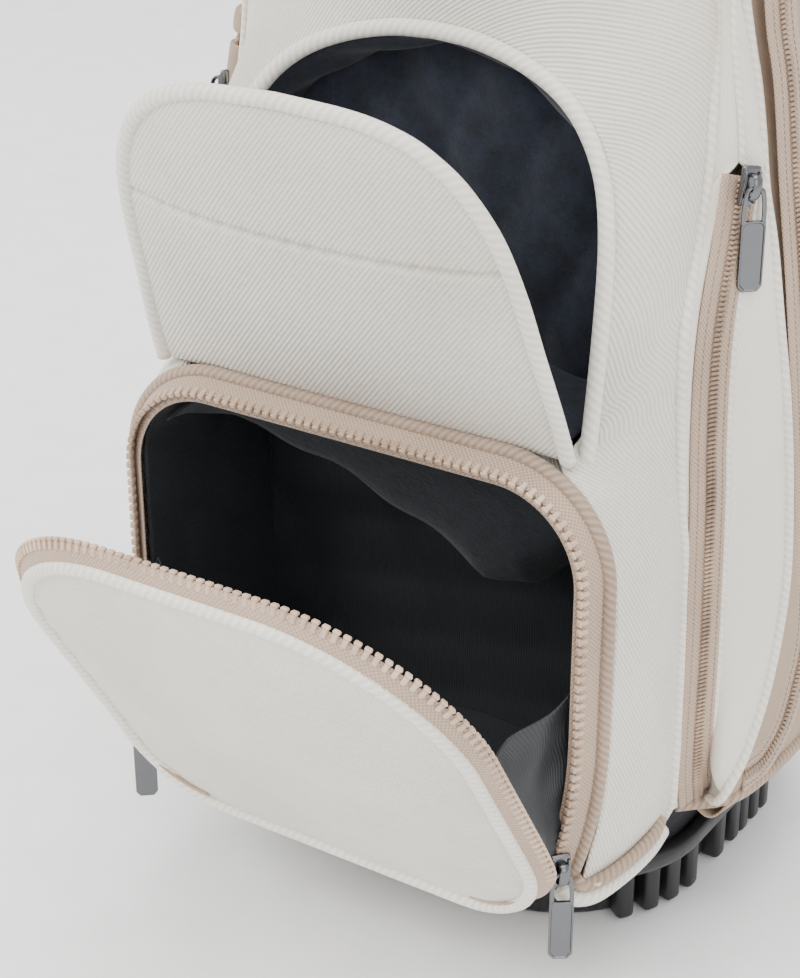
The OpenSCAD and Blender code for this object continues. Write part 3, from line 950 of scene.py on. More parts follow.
@dataclass
class Column:
    """The front column: its skin, welts and the ledge over the cooler."""

    count: int = 301

    def skin(self) -> Thing:
        """One cloth from the cooler and the arch to the side seams."""

        def whole(right: list) -> Points:
            return spline([*right, *[(-x, y, z) for x, y, z in right[-2::-1]]], self.count)


        def bulge(s: np.ndarray, t: np.ndarray) -> np.ndarray:
            near = 1 - np.abs(2 * t - 1)
            high = np.clip((near - 0.42) / 0.25, 0, 1) * (1 - np.clip((near - 0.80) / 0.14, 0, 1))
            crown = np.sin(math.pi * s) ** 0.8
            return crown * (4.0 + 3.0 * high + 0.25 * np.sin(near * 31 + s * 5))

        return span("column_skin", whole(COLUMN_RIM), whole(COLUMN_EDGE), 28, bulge)

    def ledge(self) -> Thing:
        """The cloth between the cooler's welt and the flap's hinge."""
        line = arch(107, 200, 257.5, 44)
        line = line[line[:, 1] > 240]
        one, two = even(in_plane(line, -145.0), 61), even(in_plane(line, -118.0), 61)
        two[:, 2] -= 2
        return span("column_ledge", one, two, 6)

    def belly(self) -> Thing:
        """The cloth under the cooler, which hangs a little at its middle."""
        one = smooth_line([(118, -143, 66), (118.5, -122, 63), (117, -100, 62), (112, -78, 62)], 40)
        cloth = span("column_belly", one, mirrored(one, Side.LEFT), 40)
        for v in cloth.data.vertices:
            v.co.z -= 2.4 * MM * math.sin(math.pi * min(max(v.co.x / (236 * MM) + 0.5, 0), 1))
        return cloth

    def build(self) -> None:
        """Build and dress the column."""
        dress(wall(self.skin(), 1.2), "twill_down", "column_lower", "column_upper")
        for side in Side:
            up = mirrored((0.8, -0.6, 0), side)
            seam = mirrored(smooth_line(COLUMN_SEAM, 150), side) + up * 0.8
            dress(sweep(f"column_welt_{side.name.lower()}", seam, up, round_profile(2.3)), "welt")
        dress(wall(self.ledge()), "twill")
        line = on_slope(symmetric(ARCH, 190), 1.0)
        dress(sweep("valuables_welt", line, SLOPE_OUT, round_profile(3.5, 14, 0.8)), "welt", "valuables_piping")
        for side in Side:
            tag, up = side.name.lower(), mirrored((0.8, 0, -0.6), side)
            line = mirrored(smooth_line(UNDER_WELT, 60), side)
            nodes = ["bottom_piping"] if side is Side.RIGHT else []
            dress(sweep(f"bottom_welt_{tag}", line, up, round_profile(2.9)), "tan_welt", *nodes)
            line = mirrored(smooth_line(UNDER_BINDING, 60), side)
            dress(sweep(f"bottom_binding_{tag}", line, up, round_profile(4.2, 14)), "welt")
        dress(wall(self.belly()), "twill")


@dataclass
class Cooler:
    """The cooler's mouth, zip, lining and gussets."""

    front_y: float = -152.0
    back_y: float = -66.8

    def build(self) -> None:
        """Build and dress the cooler."""
        self.chain()
        dress(wall(self.wall_lining(), NYLON), "lining", "cooler_liner")
        dress(wall(self.back_lining(), NYLON), "lining")
        dress(wall(self.ceiling(), 1.2), "fleece", "cooler_ceiling")
        for side in Side:
            self.gusset(side)

    def chain(self) -> None:
        """Welt, tape, stitching, teeth and the narrow guard inside them."""
        welt = in_plane(mouth(118.7, 66), -145.6)
        dress(sweep("cooler_welt", welt, (0, -1, 0), round_profile(2.8)), "tan_welt", "cooler_piping")
        tape = mouth(115.4, 68)
        up = splayed(tape, 0.88, 0.47)
        strip = sweep("cooler_zip_tape", in_plane(tape, -150.6), up, flat_profile(12.5, 1.1))
        dress(strip, "tape", "cooler_tape")
        stitches("cooler_tape_stitch", in_plane(mouth(116.9, 68), -147.9) + up * 0.75, up)
        row = mouth(112.9, 72)
        frames = ladder(in_plane(row, -155.9), splayed(row, 0.94, 0.34), TOOTH_PITCH)
        dress(copies("cooler_zip_teeth", tooth(), frames), "teeth", "cooler_teeth")
        guard = mouth(110.6, 68, 200)
        up = splayed(guard, 0.5, 0.86)
        dress(sweep("cooler_zip_guard", in_plane(guard, -153.4), up, flat_profile(6.0, 0.9)), "tape")

    def wall_lining(self) -> Thing:
        """The black taffeta round the inside, with shallow creases."""
        loop = looped(arch(108.6, 73, 246, 36, 10), 161)
        centre = np.array([0, 158.0])

        def rule(s: np.ndarray, t: np.ndarray) -> tuple[np.ndarray, np.ndarray]:
            i = steps(s, 160)
            crease = 1.6 * np.sin(i * 0.21 + 3 * t) + 1.1 * np.sin(i * 0.53 - 7 * t)
            crease = crease + 1.4 * np.sin(t * 9 + i * 0.08)
            p = loop[i] + (centre - loop[i]) * (0.045 * t + 0.008)[:, None]
            p = p - unit(p - centre) * (np.abs(crease * np.sin(math.pi * t)) * 1.2)[:, None]
            return np.stack([p[:, 0], self.front_y + 85.5 * t, p[:, 1]], 1), np.stack([s * 700, t * 86], 1)

        return patch("cooler_lining_wall", (160, 36), rule)

    def back_lining(self) -> Thing:
        """The taffeta at the back of the cooler."""

        def rule(s: np.ndarray, t: np.ndarray) -> tuple[np.ndarray, np.ndarray]:
            z = 75 + 168 * t
            x = (2 * s - 1) * half_width(arch(105, 74, 244, 36, 10), z)
            crease = 2.0 * np.abs(np.sin(x * 0.05 + z * 0.03)) + 1.2 * np.abs(np.sin(z * 0.11 - x * 0.02))
            return np.stack([x, self.back_y - crease, z], 1), np.stack([x, z], 1)

        return patch("cooler_lining_back", (60, 50), rule)

    def ceiling(self) -> Thing:
        """The fleece ceiling, which sags into the mouth towards the right."""

        def rule(s: np.ndarray, t: np.ndarray) -> tuple[np.ndarray, np.ndarray]:
            x, y = (2 * s - 1) * 98, -147 + 78 * t
            top = 245.0 - np.clip(np.abs(x) - 66, 0, 60) ** 2 * 0.017
            hang = 0.22 + 0.78 * np.clip((x + 75) / 120, 0, 1) ** 1.5
            sag = 8 + 58 * hang * np.sin(math.pi * np.clip(t * 0.95 + 0.05, 0, 1)) ** 1.2
            sag = sag + 2.2 * np.sin(x * 0.13 + y * 0.09) * np.sin(math.pi * t)
            z = top - sag * np.clip((98 - np.abs(x)) / 30, 0, 1) ** 0.6 * np.clip(t * 5, 0.12, 1)
            return np.stack([x, y, z], 1), np.stack([x, y], 1)

        return patch("cooler_fleece_ceiling", (70, 34), rule, flip=True)

    @staticmethod
    def gusset(side: Side) -> None:
        """One nylon fold that joins the mouth's side to the door."""
        k = np.linspace(0, 1, 41)
        wall_line = np.stack([np.full(41, 106.5), np.full(41, -149.5), 82 + 78 * k], 1)
        door_line = mirrored(Door().lay(side.value * 107 - Door.shift, 5.0, 22 + 96 * k), side)

        def rule(s: np.ndarray, t: np.ndarray) -> tuple[np.ndarray, np.ndarray]:
            j = steps(t, 40)
            p = wall_line[j] * (1 - s)[:, None] + door_line[j] * s[:, None]
            dip = np.sin(math.pi * s) * t
            p[:, 0] -= 15 * dip + 1.6 * np.sin(s * 16 + t * 9) * t
            p[:, 1] += 1.0 * np.sin(t * 22 + s * 6)
            p[:, 2] -= 16 * dip * t
            return mirrored(p, side), np.stack([s * 60, t * 90], 1)

        cloth = wall(patch(f"door_gusset_{side.name.lower()}", (30, 40), rule), 0.7, 0.0)
        dress(cloth, "lining", *(["gussets"] if side is Side.RIGHT else []), body="")
        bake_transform(cloth)


@dataclass
class Door:
    """The cooler door: padded twill, welt, zip tape, teeth and lining."""

    bow: float = 9.0
    half: float = 104.0
    tall: float = 194.0
    shift: float = 6.0

    def lay(self, x: np.ndarray | float, depth: np.ndarray | float, z: np.ndarray | float) -> Points:
        """Put points given from the hinge into the open door's place."""
        x, depth, z = np.broadcast_arrays(np.asarray(x, float), depth, z)
        sag = 6.5 * np.clip(1 - z / 60, 0, 1) ** 2
        flat = np.stack([x + self.shift, DOOR_HINGE[0] - depth - sag, DOOR_HINGE[1] + z], 1)
        return turn_x(flat, DOOR_OPEN, DOOR_HINGE)

    def at(self, depth: float) -> Callable:
        """How to place the door's points from a depth on."""
        return lambda x, d, z: self.lay(x, d + depth, z)

    def front(self, u: np.ndarray, z: np.ndarray) -> np.ndarray:
        """Depth of the padded face: crowned, with light creases at its foot and edges."""
        v = np.clip(z / self.tall, 0, 1)
        crown = self.bow * np.clip(1 - u * u, 0, 1) ** 0.8 * np.clip(4 * v * (1 - v), 0, 1) ** 0.7
        foot = 0.9 * np.sin(u * 9 + v * 4) * np.exp(-(((v - 0.08) / 0.12) ** 2))
        return 2.2 + crown + foot + 0.7 * np.exp(-(((np.abs(u) - 0.93) / 0.05) ** 2)) * np.sin(z * 0.35)

    def build(self) -> None:
        """Build and dress the door in its resting pose."""
        half, tall, ride = self.half, self.tall, {"body": "cooler_door"}
        outline = arch(half + 0.6, -0.6, tall + 0.6, 69, 41)
        pad = pillow("door_padding", outline, (60, 70), self.front, flat_face(1.2), self.at(8.4))
        dress(pad, "twill_down", "door_panel", **ride)
        loop = looped(arch(half, 0, tall, 70, 41), 260)
        face = (0, -math.cos(math.radians(DOOR_OPEN)), -math.sin(math.radians(DOOR_OPEN)))
        line = self.lay(loop[:, 0], 9.6, loop[:, 1])
        welt = sweep("door_welt", line, face, round_profile(3.0, 12, 0.85), closed=True)
        dress(welt, "welt", "door_piping", **ride)
        tape, aside, deep = self.edge(even(arch(half + 3.2, 3, tall + 3.2, 72, 38), 240), 6.9)
        up = unit(aside * 0.72 + deep * 0.69)
        dress(sweep("door_zip_tape", tape, up, flat_profile(11.5, 1.2)), "tape", "door_tape", **ride)
        stitches("door_tape_stitch", tape + deep * 1.8 - aside * 1.6 + up * 0.8, up, **ride)
        row, aside, deep = self.edge(even(arch(half + 6.4, 8, tall + 6.4, 72, 34), 230), 3.4)
        frames = ladder(row, -unit(aside * 0.72 + deep * 0.69), TOOTH_PITCH, TOOTH_PITCH / 2)
        dress(copies("door_zip_teeth", tooth(), frames), "teeth", "door_teeth", **ride)
        outline = arch(half + 3.5, 2, tall + 3.5, 70, 38)
        back = lambda u, z: 0.4 + 0.9 * np.sin(u * 7 + z * 0.06) ** 2
        lining = pillow("door_lining", outline, (36, 36), flat_face(0.8), back, self.at(5.6))
        dress(lining, "lining", "door_liner", **ride)
        self.hinge()

    def edge(self, outline: Points, depth: float) -> tuple[Points, Points, Points]:
        """An outline on the open door, with its outward and its forward directions."""
        x, z = outline.T
        out = outward(outline)
        line = self.lay(x, depth, z)
        aside = unit(self.lay(x + out[:, 0], depth, z + out[:, 1]) - line)
        return line, aside, unit(self.lay(x, depth + 1, z) - line)

    def hinge(self) -> None:
        """The cloth between the bag and the foot of the door."""
        k = np.linspace(0, 1, 49)
        bag_edge = np.stack([106 - 212 * k, np.full(49, -147.0), np.full(49, 66.5)], 1)
        door_edge = self.lay(100 - 200 * k, 4.0, 5 + 26 * np.abs(2 * k - 1) ** 3)
        strip = span("door_hinge_strip", bag_edge, door_edge, 12, lambda s, t: 1.6 * np.sin(math.pi * s))
        dress(wall(strip, CLOTH, 0.0), "twill", body="")
        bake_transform(strip)


@dataclass
class Flap:
    """The valuables flap: padded twill with a seam, welt and velvet back."""

    tall: float = 144.0
    seam: float = 86.5
    bow: float = 10.0
    shift: float = -3.5

    def front(self, u: np.ndarray, z: np.ndarray) -> np.ndarray:
        """Depth of the padded face: crowned, pinched along its seam and puckered beside it."""
        v = np.clip((z + 3) / (self.tall + 1), 0, 1)
        crown = self.bow * np.clip(1 - u * u, 0, 1) ** 0.8 * np.sin(math.pi * v) ** 0.55
        off = z - (self.seam - 1.5 * u)
        pinch = 3.0 * np.exp(-((off / 1.2) ** 2)) * (1 + 0.3 * np.sin(u * 90))
        return 2.0 + crown - pinch + 0.5 * np.exp(-((off / 6.0) ** 2)) * np.sin(u * 52 + 0.6 * np.sin(u * 9))

    def at(self, depth: float) -> Callable:
        """How to place the flap's points from a depth on."""
        return lambda x, d, z: flap_pose(x + self.shift, -depth - d, z)

    def build(self) -> None:
        """Build and dress the flap in its resting pose."""
        ride, outline = {"body": "valuables_flap"}, symmetric(FLAP, 200)
        inner = outline * (0.99, 0.995)
        pad = pillow("flap_padding", inner, (80, 170), self.front, flat_face(1.6), self.at(4.4))
        dress(pad, "twill", "flap_panel", **ride)
        x, z = (symmetric(FLAP, 180) * (0.985, 1)).T
        face = (0, -math.cos(math.radians(FLAP_OPEN)), -math.sin(math.radians(FLAP_OPEN)))
        welt = sweep("flap_welt", self.at(4.8)(x, 0 * x, z), face, round_profile(3.4, 14, 0.9))
        dress(welt, "welt", "flap_piping", **ride)
        back = lambda u, z: 1.1 + 0.5 * np.sin(u * 5 + z * 0.05)
        velvet = pillow("flap_velvet", outline * (0.99, 1.008), (36, 44), flat_face(0.7), back, self.at(1.0))
        dress(velvet, "velvet", "flap_liner", **ride)
        k = np.linspace(0, 1, 47)
        one = on_slope(np.stack([92 - 184 * k, np.ones(47)], 1), 0.4)
        two = flap_pose(90 - 184 * k, np.full(47, -2.2), np.full(47, 5.0))
        strip = wall(span("flap_hinge_strip", one, two, 8), 0.9, 0.0)
        dress(strip, "twill", body="")
        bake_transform(strip)
        dress_nodes(rim_magnets="steel", flap_magnets="steel")


@dataclass
class Valuables:
    """The velvet-lined pocket behind the flap."""

    back_y: float = -65.2

    def sides(self) -> Thing:
        """The lining round the opening, with soft folds."""
        rim = symmetric(ARCH, 121) * (0.968, 0.98)
        front = on_slope(rim, -0.4)
        rear = np.stack([rim[:, 0] * 0.93, np.full(121, self.back_y), 262 + (front[:, 2] - 258) * 0.93], 1)
        centre = np.array([0, -95, 330.0])

        def rule(s: np.ndarray, t: np.ndarray) -> tuple[np.ndarray, np.ndarray]:
            i = steps(s, 120)
            p = front[i] * (1 - t)[:, None] + rear[i] * t[:, None]
            fold = (4 + 2.2 * np.sin(i * 0.19) + 1.4 * np.sin(i * 0.47 + 4 * t)) * np.sin(math.pi * t) ** 0.8
            inward = unit((centre - p) * (1, 0, 1))
            return p + inward * fold[:, None], np.stack([s * 420, t * 60], 1)

        return patch("valuables_lining", (120, 24), rule)

    def back(self) -> Thing:
        """The lining at the back, in long waves."""
        outline = symmetric(ARCH, 200) * (0.93, 1) + (0, 254)

        def rule(s: np.ndarray, t: np.ndarray) -> tuple[np.ndarray, np.ndarray]:
            z = 256 + 140 * t
            x = (2 * s - 1) * np.maximum(half_width(outline, z), 2)
            wave = 6.5 * np.abs(np.sin(x * 0.033 + 0.9 + z * 0.017)) + 3.0 * np.abs(np.sin(x * 0.075 - z * 0.035))
            wave = wave + 1.2 * np.sin(x * 0.17 + z * 0.11)
            return np.stack([x, self.back_y - 1.0 - wave, z], 1), np.stack([x, z], 1)

        return patch("valuables_lining_back", (60, 44), rule)

    def floor(self) -> Thing:
        """The lining at the bottom."""

        def rule(s: np.ndarray, t: np.ndarray) -> tuple[np.ndarray, np.ndarray]:
            x, y = (2 * s - 1) * 91, -130 + (self.back_y + 130) * t
            return np.stack([x, y, 260.5 + 1.5 * np.sin(x * 0.07 + y * 0.1)], 1), np.stack([x, y], 1)

        return patch("valuables_lining_floor", (50, 18), rule)

    def build(self) -> None:
        """Build and dress the lining."""
        dress(wall(self.sides(), 0.8), "velvet", "valuables_liner")
        dress(wall(self.back(), 0.8), "velvet")
        dress(wall(self.floor(), 0.8), "velvet")


@dataclass
class SidePocket:
    """One side of the bag: pod cloth, front and rear coil zips, tan rear panel and its seams."""

    side: Side

    @property
    def tag(self) -> str:
        """The side's name as it ends a piece's name."""
        return self.side.name.lower()

    def on_side(self, points: Points) -> Points:
        """Points or directions of the right side, on this side."""
        return mirrored(points, self.side)

    @staticmethod
    def normals(line: Points, want: Triple) -> Points:
        """Directions across a line on the right side that are nearest to the wanted one."""
        ahead = along(line)
        return unit(want - ahead * np.sum(want * ahead, axis=1, keepdims=True))

    def skin(self, name: str, one: Points, two: Points, cells: int, bulge: Callable | None) -> Thing:
        """A cloth between two lines of the right side."""
        flip = self.side is Side.LEFT
        return wall(span(f"{name}_{self.tag}", self.on_side(one), self.on_side(two), cells, bulge, flip))

    def zipper(self, name: str, line: Points, up: Points, lift: float, width: float, seam: float) -> None:
        """A coil zip: its tape, chain and the two rows of stitches beside it.

        Args:
            name: Stem of the pieces' names.
            line: Its line on the right side.
            up: Directions out of the cloth.
            lift: How far the tape lies out of the line.
            width: Width of the tape.
            seam: Distance of the stitches from the middle.
        """
        tape, out = line + up * lift, self.on_side(up)
        nodes = [f"{name}s"] if self.side is Side.RIGHT else []
        dress(sweep(f"{name}_tape_{self.tag}", self.on_side(tape), out, flat_profile(width)), "tape", *nodes)
        coil_chain(f"{name}_coil_{self.tag}", self.on_side(tape + up * 0.9), out)
        across = np.cross(along(tape), up)
        for key, off in (("a", -seam), ("b", seam)):
            row = self.on_side(tape + across * off + up * 0.8)
            stitches(f"{name}_stitch_{key}_{self.tag}", row, out, 2.6, 1.7, 0.5)

    def build(self) -> None:
        """Build and dress one side."""
        column, seam = spline(COLUMN_SEAM, 161), spline(POD_SEAM, 161)
        above = [(118.5, -56, 375), (115.5, -57, 396), (112.5, -56, 420), (109.5, -54, 460)]
        front = spline([*FRONT_ZIP, *above], 161)
        tape_up = self.normals(front, (0.93, -0.37, 0))
        aside = np.cross(along(front), tape_up)
        aside *= np.sign(np.sum(aside * (column - front), axis=1))[:, None]
        # The pod's cloth parts for the zip and closes again above its top end.
        half = 9.6 * np.clip((357 - front[:, 2]) / 5, 0.02, 1)[:, None]
        fore, aft = front + aside * half, front - aside * half

        def crowned(high: float) -> Callable:
            ends = lambda t: np.sin(math.pi * np.clip(t * 1.1, 0, 1)) ** 0.5
            return lambda s, t: high * np.sin(math.pi * s) ** 0.8 * ends(t)

        dress(self.skin("pod_edge", column, fore, 16, crowned(0.6)), "twill_fine")
        dress(self.skin("pod_skin", aft, seam, 16, crowned(4.5)), "twill_fine", f"side_pod_{self.tag}")
        hem, hem_up = self.on_side((aft + tape_up)[8:150]), self.on_side(tape_up[8:150])
        dress(sweep(f"pod_hem_{self.tag}", hem, hem_up, round_profile(1.3, 10)), "welt")
        line = spline(FRONT_ZIP, 121)
        self.zipper("front_zip", line, self.normals(line, (0.93, -0.37, 0)), 0.9, 21, 6.6)
        line = smooth_line(POD_SEAM, 150)
        up = self.normals(line, (0.85, -0.5, 0))
        welt = sweep(f"pod_welt_{self.tag}", self.on_side(line + up), self.on_side(up), round_profile(2.2))
        dress(welt, "welt")
        self.rear(seam)

    def rear(self, seam: Points) -> None:
        """The tan panel behind the pod, its zip and its bottom welt."""
        middle, edge = spline(REAR_MIDDLE, 161), spline(REAR_EDGE, 161)
        fore = self.skin("rear_panel_front", seam, middle, 20, lambda s, t: 1.5 * np.sin(math.pi * s))
        dress(fore, "tan_cloth", f"rear_panel_{self.tag}")
        aft = self.skin("rear_panel_back", middle, edge, 18, lambda s, t: 9.0 * np.sin(math.pi * s))
        dress(aft, "tan_cloth")
        line = spline(REAR_ZIP, 190)
        self.zipper("rear_zip", line, self.normals(line, (0.99, -0.12, 0)), 2.2, 22, 6.4)
        low = smooth_line(POD_BOTTOM, 110)
        up = self.on_side(unit(self.normals(low, (0.8, 0, 0)) + (0, 0, -0.5)))
        dress(sweep(f"pod_bottom_welt_{self.tag}", self.on_side(low), up, round_profile(3.0)), "tan_welt")
        one, two = self.on_side(low), self.on_side(low * (0.3, 0.9, 1))
        dress(wall(span(f"pod_belly_{self.tag}", one, two, 8)), "tan_cloth")


@dataclass
class Place:
    """Where a small part goes: a point, a tilt about X, a turn about Z and a mirror to the left."""

    at: Triple
    side: Side = Side.RIGHT
    turn: float = 0.0
    tilt: float = 0.0

    def put(self, ob: Thing) -> None:
        """Apply the place to the part's mesh."""
        turn = Matrix.Rotation(math.radians(self.turn), 4, "Z")
        tilt = Matrix.Rotation(math.radians(self.tilt), 4, "X")
        ob.data.transform(Matrix.Translation(Vector(self.at) * MM) @ turn @ tilt)
        if self.side is Side.LEFT:
            ob.data.transform(Matrix.Diagonal((-1, 1, 1, 1)))
            ob.data.flip_normals()
        ob.data.update()


@dataclass
class Hardware:
    """Zip sliders, metal pulls, corded pullers and the small CAD nodes that are shown as they are."""

    # Half width of a pull's plate, and the height of its middle from the pivot.
    pull_half: float = 5.1
    pull_middle: float = -27.5

    @staticmethod
    def slider(name: str, place: Place, body: str, node: str, level: bool = False) -> None:
        """A slider: a waisted body, two side lips and a raised bridge.

        Args:
            name: Piece name.
            place: Where it goes.
            body: Body it rides on.
            node: CAD node that it stands for.
            level: Its zip runs across the bag, so it lies level and has no side lips.
        """
        wide, tall = (16.0, 9.0) if level else (9.0, 16.0)
        plate = block((2.6, wide, tall), 1.2, (1.5, 0, 0), 3)
        for v in plate.data.vertices:
            if level:
                v.co.z *= 1 - 0.28 * max(0.0, -v.co.y / (8 * MM)) ** 2
            else:
                v.co.y *= 1 - 0.28 * max(0.0, -v.co.z / (8 * MM)) ** 2
        edges = () if level else (1.0 - wide / 2, wide / 2 - 1.0)
        lips = [block((1.4, 1.3, tall * 0.8), 0.5, (3.0, y, -0.4), 2) for y in edges]
        arc = [(2.4, 0, 4.6), (5.6, 0, 4.3), (7.0, 0, 2.0), (7.0, 0, -2.0), (5.6, 0, -4.3), (2.4, 0, -4.6)]
        bridge = sweep("bridge", smooth_line(arc, 26), (1.0, 0, 0.001), round_profile(2.2, 10, 0.386))
        ob = join(name, [plate, *lips, bridge])
        place.put(ob)
        dress(shade(ob), "gunmetal", node, body=body)

    def pull(self, name: str, place: Place, body: str, node: str) -> None:
        """A cast pull: a loop on the bridge and a plate with a raised border.

        Args:
            name: Piece name.
            place: Where its pivot goes.
            body: Body it rides on.
            node: CAD node that it stands for.
        """
        half = np.array([(0, -13), (3.4, -13), (4.6, -13.6), (5.1, -14.8), (5.1, -39.6), (3.2, -42), (0, -42)])
        rim = even(np.vstack([half, half[-2::-1] * (-1, 1)]), 97)
        middle = np.array([0.0, self.pull_middle])
        # Each row: share of the plate's size, depth.
        rows = [(0, -0.9), (0.95, -0.9), (1, -0.6), (1, 0.6), (0.96, 0.9), (0.86, 0.9), (0.80, 0.45), (0, 0.45)]
        share, depth = np.array(rows).T

        def rule(s: np.ndarray, t: np.ndarray) -> tuple[np.ndarray, np.ndarray]:
            i, j = steps(s, 96), steps(t, len(rows) - 1)
            flat = rim[i] - middle
            gap = (1 - share[j]) * self.pull_half * np.where(share[j] == 0, 100, 1)
            flat = np.sign(flat) * np.maximum(np.abs(flat) - gap[:, None], 0) + middle
            return np.stack([depth[j], flat[:, 0], flat[:, 1]], 1), flat

        plate = patch("plate", (96, len(rows) - 1), rule, closed=True)
        right = [(0, 2.4, -0.6), (0, 3.5, -3), (0, 4.1, -9), (0, 4.1, -14.5)]
        loop = [(x, -y, z) for x, y, z in right[::-1]] + [(0, 0, 0)] + right
        bow = sweep("bow", smooth_line(loop, 44), (1.0, 0, 0), round_profile(1.0, 10, 0.8))
        ob = join(name, [plate, bow])
        place.put(ob)
        dress(shade(ob), "gunmetal", node, body=body)

    def puller(self, side: Side, height: float, lean: float) -> None:
        """A corded puller of a rear zip: doubled cord, barrel bead and a moulded tube grip.

        Args:
            side: Its side of the bag.
            height: Height of its pivot.
            lean: Lean away from the bag in degrees.
        """
        tag, place = side.name.lower(), Place((123, -40, height), side)
        hang, body = Matrix.Rotation(math.radians(-lean), 4, "Y"), f"rear_pull_{side.name[0].lower()}"
        # Depth, half the gap between the two strands, and height below the pivot.
        route = [(0, 0, 1), (0.2, 2.6, -2), (0.4, 3.4, -14), (0.3, 2.4, -28), (0.3, 1.8, -36), (0.4, 2.4, -45)]
        route += [(1.2, 3.6, -50), (1.4, 3.2, -56)]
        strands = []
        for k in (-1, 1):
            line = smooth_line([(x, k * y, z) for x, y, z in route], 60)
            strands.append(sweep("cord", line, (1.0, 0, 0.01), round_profile(1.15, 8)))
        cord = join(f"rear_puller_{tag}_cord", strands)
        bead = [(0.6, -33), (3.6, -33), (4.6, -33.8), (5.2, -35), (5.5, -38), (5.5, -41), (5.2, -43.6), (4.7, -44.6)]
        bead += [(3.4, -45), (0.6, -45)]
        tube = [(3.0, -56), (3.4, -51), (4.8, -50), (5.6, -50.2), (5.8, -52), (5.9, -60), (6.0, -70), (5.9, -79)]
        tube += [(5.4, -82.4), (4.0, -83.8), (0.4, -84)]
        grip = join(f"rear_puller_{tag}_grip", [self.turned("bead", bead), self.turned("grip", tube, 0.25)])
        for ob in (cord, grip):
            ob.data.transform(hang)
            place.put(ob)
        dress(cord, "tan_welt", f"cord_loop_{tag}", body=body)
        dress(grip, "grip", f"cord_grip_{tag}", body=body)

    @staticmethod
    def turned(name: str, rows: Sequence[Sequence[float]], rib: float = 0.0) -> Thing:
        """A shape of revolution about Z, from (radius, height) rows, with optional fine ribs in front."""
        fine = even(np.array(rows), 49)

        def rule(s: np.ndarray, t: np.ndarray) -> tuple[np.ndarray, np.ndarray]:
            r, z = fine[steps(t, 48)].T
            a = s * 2 * math.pi
            r = r - rib * (np.cos(a) > -0.2) * np.clip(np.sin(z * 3.2), 0, 1) * (r > 5.6)
            return np.stack([r * np.cos(a), r * np.sin(a), z], 1), np.stack([s * 34, z], 1)

        return patch(name, (28, 48), rule, closed=True)

    def pair(self, zipped: str, slider: Place, pull: Place) -> None:
        """A slider and its metal pull, named after their zip."""
        tag, end = slider.side.name.lower(), slider.side.name[0].lower()
        self.slider(f"{zipped}_zip_slider_{tag}", slider, f"{zipped}_slider_{end}", f"{zipped}_slider_{tag}")
        self.pull(f"{zipped}_zip_pull_{tag}", pull, f"{zipped}_pull_{end}", f"{zipped}_pull_{tag}")

    def build(self) -> None:
        """Build and dress all hardware."""
        # The top of a side zip leans in by 19 mm over 93 mm of height.
        tilt = -math.degrees(math.atan2(19, 93))
        for side in Side:
            faced = 50.0 if side is Side.LEFT else -54.0
            self.pair("cooler", Place((107.0, -157.5, 80), side, -40.0), Place((111.0, -161.0, 80), side, faced))
            self.pair("side", Place((125.6, -61, 350), side, -24.0, tilt), Place((131.2, -63.5, 350), side, -46.0))
        rear_zips = ((Side.RIGHT, 588, 5), (Side.LEFT, 414, 11))
        for side, height, _ in rear_zips:
            tag, end = side.name.lower(), side.name[0].lower()
            place = Place((118.8, -40, height), side)
            self.slider(f"rear_zip_slider_{tag}", place, f"rear_slider_{end}", f"rear_slider_{tag}")
        for side, height, lean in rear_zips:
            self.puller(side, height, lean)
        self.slider("upper_zip_slider", Place((54, -105.8, 754), turn=-90), "upper_slider_b", "upper_slider", True)
        self.pull("upper_zip_pull", Place((54, -110.3, 754), turn=-90), "upper_pull_b", "upper_pull")
        dress_nodes(towel_ring="gunmetal", ring_bracket="collar", strap_rings="gunmetal")
        dress_nodes(stay_rods="rod", foot_pads="rubber")


